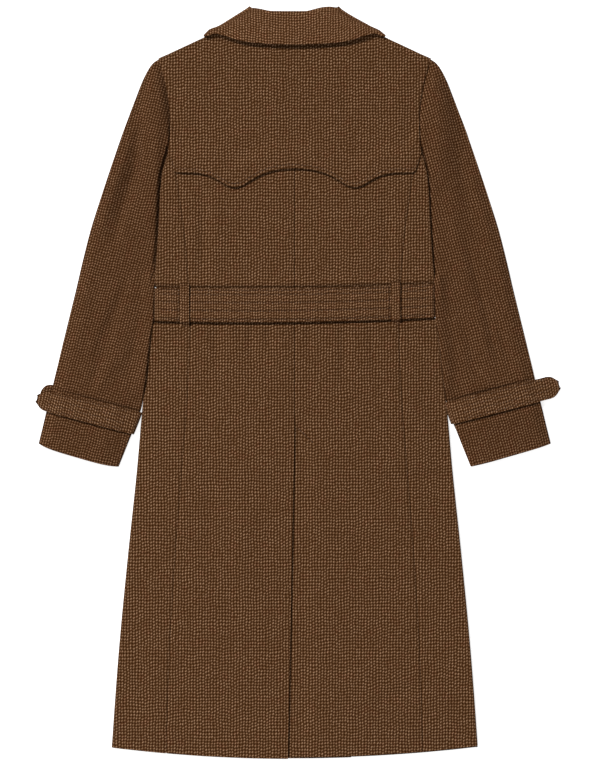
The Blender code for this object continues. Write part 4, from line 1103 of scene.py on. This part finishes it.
def makeSleeve(side):
    sign = signs[side]
    folds = evenly(0, 75, 15)
    around = tagged("inner", folds) + [("inner", 90)]
    around += tagged("top", evenly(0.93, 0.07, 0.015))
    around += [("outer", 90)] + tagged("outer", folds[::-1]) + [("outer", -a) for a in folds[1:]]
    around += [("outer", -90)] + tagged("low", evenly(0.08, 0.92, 0.06))
    around += [("inner", -90)] + [("inner", -a) for a in folds[:0:-1]] + [("inner", 0)]

    def place(station, v):
        x, y, z = sleevePoint(side, v, *station)
        return sign * x, y, z, *sleeveWeave(side, v, *station, x, y)

    def relief(points):
        x, y = np.abs(points[:, 0]), points[:, 1]
        free = np.array([1 - tuckedShare(a, b) for a, b in zip(x, y)])
        high = ramp(points[:, 2], *sleeve["high"])
        size, height, seed = sleeve["swell"]
        swell = mapped(points, sleeve["creases"][side]) + ripple(points, size, height, seed + sign)
        under = mapped(points, sleeve["underCreases"][side]) * (1 - high)
        return (swell + mapped(points, strapLines, 1.0)) * free * high + under

    step, fine = sleeve["step"], sleeve["fine"]
    upper, lower = strap["start"][side] - fine, strap["start"][side] + strap["span"] + fine
    strapLines = []
    for v in (upper, lower):
        ends = [(sign * x, y) for x, y in (sectionPoint(v, -0.1), sectionPoint(v, 1.1))]
        strapLines.append((ends, *sleeve["strapPress"]))
    along = evenly(0.0, upper - 0.1, step) + evenly(upper - 0.08, upper + 0.08, fine)
    along += evenly(upper + 0.12, lower - 0.12, step) + evenly(lower - 0.08, lower + 0.08, fine)
    along += evenly(lower + 0.12, len(sleeve["rows"]) - 1, step)
    return sewSheet(f"sleeve_{side}", around[::-sign], along, place, "shadedSleeveTweed", ring=True, relief=relief)


def strapPoint(side, kind, at, q):
    sign = signs[side]
    start, tip, end = strap["start"][side], strap["tip"][side], strap["end"][side]
    proud = strap["gap"] + strap["thick"]
    share, bow = q - 0.5, 0.0
    if kind != "inner":
        into = 1 - clamp((at - (-tip if kind == "top" else end)) / strap["point"])
        share *= math.sqrt(max(1 - (strap["tipRound"] * into) ** 2, 0.0))
        bow = strap["tipBow"] * (1 - (2 * q - 1) ** 2) * into ** 4
    v = start + strap["span"] * (0.5 + share)
    if kind == "top":
        v += strap["taper"][side] * (0.5 - share) * ease(1 - at / strap["taperLength"])
    length = sectionWidth(v)
    top = sleeveTop(side, v, 0.5) + proud
    radius = top / 2
    weave = at
    if kind == "inner":
        angle = math.radians(at)
        reach = length + proud - radius * (1 - math.cos(angle))
        z = radius * (1 + math.sin(angle))
        weave = reach + radius * (1 - math.sin(angle))
    elif kind == "top":
        reach = at - bow
        z = sleeveFace(side, v, clamp(at / length)) + proud
        z -= strap["tipDrop"] * ease(-at / strap["tip"]["right"])
        depth, width = strap["rowPress"]
        for row in strap["rows"]:
            z -= depth * bell((q - row) * strap["width"], width)
    else:
        reach, z = at - bow, 0.0
        v -= strap["endShift"][side] * spread(at - end, 0.0, strap["endLength"])
        weave = strap["cut"]["flat"][1] - at
    x, y = sectionPoint(v, reach / length)
    return sign * x, y, z, weave, q * strap["width"]


def makeStrap(side):
    sign = signs[side]
    tip, end = strap["tip"][side], strap["end"][side]
    width = sectionWidth(strap["start"][side])
    along = [("top", -tip + strap["point"] * (k / 10) ** 1.3) for k in range(11)]
    along += tagged("top", evenly(along[-1][1] + 0.004, width * 0.9, 0.004))
    along += tagged("inner", evenly(82, -82, 12))
    along += tagged("low", evenly(width * 0.86, end + strap["point"] + 0.004, 0.006))
    along += [("low", end + strap["point"] * (k / 6) ** 1.6) for k in range(6, -1, -1)]
    across = stations(strap["width"], 0.0014, (0.0, 0.0007))
    return sewSheet(f"cuff_strap_{side}", across[::-sign], along, lambda q, s: strapPoint(side, *s, q),
                    "litTrimTweed", strap["thick"])


# collar

def outwards(sign):  # square to a side crease in plan
    run = Vector(collar["edge"]["crease"]) - Vector(collar["fold"]["crease"])
    return Vector((-sign * run.y, run.x, 0.0)).normalized()


def collarSide(line, side, kind, at):  # over the back, round the side crease or under the front
    outward = outwards(1).xy
    radius = (line["height"] - line["drop"]) / 2
    start = Vector(line["crease"]) - outward * line["inset"]
    if kind == "top":
        x = at * start.x
        middle, width = collar["liftAt"]
        lift = line["lift"] * bell(at - middle, width) * spread(at, *collar["liftEnd"])
        y = line["middle"] + (start.y - line["middle"]) * at * at + lift
        z = line["height"] - line["drop"] * at * at
    elif kind == "crease":
        angle = math.radians(at)
        x, y = start + outward * line["inset"] * math.cos(angle)
        z = radius * (1 + math.sin(angle))
    else:
        x, y = start.lerp(Vector(line["end"]), at)
        z = 0.0
    return Vector((signs[side] * x, y, z))


def sideBow(side, t):  # the side swells beside the edge and is hollow nearer the fold
    (bulgeAt, bulgeWidth), (hollowAt, hollowWidth) = collar["bulgeAt"], collar["hollowAt"]
    bulge = collar["sideBulge"][side] * bell(t - bulgeAt, bulgeWidth)
    return bulge - collar["sideHollow"][side] * bell(t - hollowAt, hollowWidth)


def makeCollarFall():
    half = tagged("top", evenly(0.04, 0.8, 0.04) + evenly(0.82, 1.0, 0.02))
    half += tagged("crease", evenly(75, -75, 15)) + tagged("low", evenly(0.0, 1.0, 0.08))
    around = [("left", *at) for at in half[::-1]] + [("right", "top", 0.0)] + [("right", *at) for at in half]
    standUnder = backUnder(0.0, collar["fold"]["middle"])
    turnRadius = collar["edge"]["height"] / 2

    def place(station, t):
        side, kind, at = station
        fold = collarSide(collar["fold"], side, kind, at)
        edge = collarSide(collar["edge"], side, kind, at)
        radius = (collar["fold"]["height"] - standUnder) / 2
        towards = (edge - fold).normalized()
        if t <= 1:
            point = edge.lerp(fold + towards * radius, t)
        else:
            last, over = collar["rollEnd"]
            turned = ease((last - at) / over) if kind == "top" else 0.0
            inset, height = rolled(t - 1, fold.z, (fold.z + standUnder) / 2, radius, turned)
            point = fold + towards * inset
            point.z = blend(point.z, height, turned)
            begin, over, height = collar["cornerFill"][side]
            full = ease((at - begin) / over) if kind == "top" else max(at, 0.0) / 90 if kind == "crease" else 0.0
            point.y += height * full * (t - 1) / 4
        near = 1.0
        if kind == "top":
            near = ease((at - 1) / collar["bowTop"] + 1)
        elif kind == "low":
            near = 1 - ease(at / collar["bowLow"])
        point += outwards(signs[side]) * near * sideBow(side, min(t, 1.0))
        weave = point.x
        depth = (edge - fold).length * (min(t, 1.0) - 1) + max(t - 1, 0.0) * collar["foldWeave"]
        if kind != "top":  # the weave goes on round the side crease and under the front
            turned = turnRadius * (math.radians(90 - at) if kind == "crease" else math.pi)
            turned += collar["lowWeave"] * at if kind == "low" else 0.0
            weave = signs[side] * (collar["edge"]["crease"][0] + turned)
        return *point, weave, depth

    def relief(points):
        return ripple(points, *collar["swell"]) * ramp(points[:, 2], *collar["high"])

    along = [t for t in stations(0.044, 0.003) if t < 0.97] + [1.0] + rollStations
    return sewSheet("collar_fall", around, along, place, "litCollarTweed", collar["wall"], relief=relief)


def makeCollarStand():
    fold = collar["fold"]

    def place(u, v):
        x = u * collar["standHalf"]
        lowY = bodyTopY(x) + collar["neckSeam"]
        topY = fold["middle"] + (fold["crease"][1] - fold["middle"]) * (x / fold["crease"][0]) ** 2
        under = backUnder(0.0, fold["middle"])
        fallTop = fold["height"] - fold["drop"] * u * u
        radius = (fallTop - under) / 2
        if v <= 1:
            y = blend(lowY, topY - radius - collar["standInset"], v)
            return x, y, under, x, y
        inset, height = rolled(v - 1, under, (fallTop + under) / 2, radius, 1.0)
        return x, topY - inset - collar["standInset"], height, x, topY + 0.001 * v

    across = evenly(-1.0, 1.0, 0.05)
    along = evenly(0.0, 1.0, 0.2) + rollStations
    return sewSheet("collar_stand", across, along, place, "litCollarTweed", inward=1)


pieces = {"back_yoke": makeYoke(), "collar_fall": makeCollarFall(), "collar_stand": makeCollarStand(),
          "belt": makeBelt()}
for side in signs:
    pieces[f"back_{side}"] = centreBack(side)
    pieces[f"side_back_{side}"] = sideBack(side)
    pieces[f"front_{side}"] = makeFront(side)
    pieces[f"lapel_{side}"] = makeLapel(side)
    pieces[f"sleeve_{side}"] = makeSleeve(side)
    pieces[f"cuff_strap_{side}"] = makeStrap(side)
    pieces[f"belt_loop_{side}"] = makeLoop(side)

# stitching

stitching = {"length": 0.003, "gap": 0.0016, "thick": 0.00042, "rise": 0.0003, "sink": 0.00045}


def sewRow(row):  # points and faces of short stitches along a line on the cloth
    points, faces = [], []
    row = [Vector(spot) for spot in row]
    reach = [0.0]
    for before, after in zip(row, row[1:]):
        reach.append(reach[-1] + (after - before).length)

    def spotAt(far):
        i = min(max(bisect_right(reach, far) - 1, 0), len(row) - 2)
        return row[i].lerp(row[i + 1], (far - reach[i]) / max(reach[i + 1] - reach[i], 1e-9))

    far = stitching["gap"]
    while far + stitching["length"] < reach[-1]:
        first, last = spotAt(far), spotAt(far + stitching["length"])
        side = (last - first).cross(Vector((0, 0, 1))).normalized() * stitching["thick"]
        base = len(points)
        for share, lift in ((0.0, -stitching["sink"]), (0.3, stitching["rise"]), (0.7, stitching["rise"]),
                            (1.0, -stitching["sink"])):
            spot = first.lerp(last, share) + Vector((0, 0, lift))
            points += [spot + side, spot + Vector((0, 0, stitching["thick"])), spot - side]
        for k in range(3):
            a = base + 3 * k
            faces += [(a, a + 3, a + 4, a + 1), (a + 1, a + 4, a + 5, a + 2), (a + 2, a + 5, a + 3, a)]
        faces += [(base, base + 1, base + 2), (base + 11, base + 10, base + 9)]
        far += stitching["length"] + stitching["gap"]
    return points, faces


def sewRows(name, rows):
    points, faces = [], []
    for row in rows:
        rowPoints, rowFaces = sewRow(row)
        faces += [tuple(i + len(points) for i in face) for face in rowFaces]
        points += [spot + Vector(cloth["seamPlace"]) for spot in rowPoints]
    mesh = bpy.data.meshes.new(name)
    mesh.from_pydata(points, [], faces)
    mesh.shade_smooth()
    return finish(name, mesh, [], "sewingThread")


def onYoke(c):  # a line just inside the yoke's lower edge
    x, y = yokePoint(c, 0.0)[:2]
    y += yoke["stitchInset"]
    return x, y, backTop(x, y) + yokeLift(x, y)


def onVent(t):
    x, y = (blend(*ends, t) for ends in back["ventTack"])
    return x, y, backTop(x, y) - underVent(x, y)


stitchRows = {
    "belt": sewRows("belt_stitches", [
        [beltPoint("top", at, v)[:3] for at in evenly(-0.985, 0.985, 0.01)] for v in belt["rows"]
    ]),
    "back_yoke": sewRows("yoke_stitches", [[onYoke(c) for c in evenly(-0.98, 0.98, 0.01)]]),
    "back_right": sewRows("vent_stitches", [[onVent(t) for t in evenly(0.0, 1.0, 0.1)]]),
}
for side in signs:
    rows = []
    for q in strap["rows"]:
        ends = evenly(-strap["tip"][side] + strap["point"], strap["stitchEnd"], 0.004)
        rows.append([strapPoint(side, "top", at, q)[:3] for at in ends])
    stitchRows[f"cuff_strap_{side}"] = sewRows(f"strap_stitches_{side}", rows)
print("stitched:", ", ".join(stitchRows))

cuts = {  # flat size of each piece and what it lies on
    "back_yoke": (yoke["cut"], ["back_left_cloth", "back_right_cloth"]),
    "collar_fall": (collar["fallCut"], ["back_yoke_cloth"]),
    "collar_stand": (collar["standCut"], ["front_left_cloth", "front_right_cloth"]),
    "belt": (belt["cut"], ["back_left_cloth", "back_right_cloth", "floor"]),
}
for side in signs:
    cuts[f"back_{side}"] = (back[f"{side}Cut"], ["front_left_cloth", "front_right_cloth"])
    cuts[f"side_back_{side}"] = (back["sideCut"], [f"front_{side}_cloth"])
    underFront = "front_right_cloth" if side == "left" else "floor"
    cuts[f"front_{side}"] = (front["cut"], [underFront, f"lapel_{side}_cloth"])
    cuts[f"lapel_{side}"] = (lapel[f"{side}Cut"], ["floor"])
    cuts[f"sleeve_{side}"] = (sleeve["cut"], ["floor"])
    cuts[f"cuff_strap_{side}"] = (strap["cut"], [f"sleeve_{side}_cloth"])
    cuts[f"belt_loop_{side}"] = (belt["loopCut"], ["belt_cloth", f"side_back_{side}_cloth"])
for name, (cut, under) in cuts.items():
    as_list(under)

for name, made in pieces.items():
    print(name, "covers", round(sum(p.area for p in made.data.polygons) / 2, 4), "square metres")
print("cloth sewn:", len(pieces), "pieces,", sum(len(p.data.polygons) for p in pieces.values()), "faces")

for nodeName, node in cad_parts.items():
    if nodeName.startswith("button"):
        node.material_slots[0].material = finishes["hornButton"]
    elif nodeName == "buckle":
        node.material_slots[0].material = finishes["leatherBuckle"]


# camera, floor and light

studio = {
    "lens": 85.0, "sensor": 36.0, "frameHeight": 1.1475, "focusZ": 0.01,
    "floor": 8.0, "floorZ": -0.0005, "floorGrey": 0.55, "floorGlow": 0.75, "floorRoughness": 0.9, "sky": 0.36,
    "key": {"place": (-5.4, 6.8, 9.0), "size": 4.0, "power": 2050.0},
    "fill": {"place": (-0.9, -2.2, 2.6), "size": 1.6, "power": 38.0},
}
cameraData = bpy.data.cameras.new("camera")
cameraData.lens = studio["lens"]
cameraData.sensor_width = studio["sensor"]
camera = bpy.data.objects.new("camera", cameraData)
camera.location = (0.0, 0.0, studio["focusZ"] + studio["frameHeight"] * studio["lens"] / studio["sensor"])
scene.collection.objects.link(camera)
scene.camera = camera
scene.view_settings.view_transform = "Standard"

bpy.ops.object.select_all(action="DESELECT")
bpy.ops.mesh.primitive_plane_add(size=studio["floor"], location=(0.0, 0.0, studio["floorZ"]))
floor = bpy.context.object
floor.name = "floor"
white = (1.0, 1.0, 1.0, 1.0)
setInputs(newFinish("paleFloor")[1], {
    "Base Color": (*[studio["floorGrey"]] * 3, 1.0), "Roughness": studio["floorRoughness"],
    "Emission Color": white, "Emission Strength": studio["floorGlow"],
})
floor.data.materials.append(finishes["paleFloor"])

sky = bpy.data.worlds.new("sky")
sky.use_nodes = True
setInputs(sky.node_tree.nodes["Background"], {"Color": white, "Strength": studio["sky"]})
scene.world = sky

for lightName in ("key", "fill"):
    lampData = bpy.data.lights.new(lightName, "AREA")
    lampData.energy = studio[lightName]["power"]
    lampData.size = studio[lightName]["size"]
    lamp = bpy.data.objects.new(lightName, lampData)
    lamp.location = studio[lightName]["place"]
    lamp.rotation_euler = (-lamp.location).to_track_quat("-Z", "Y").to_euler()
    scene.collection.objects.link(lamp)
print("camera, floor and light set")
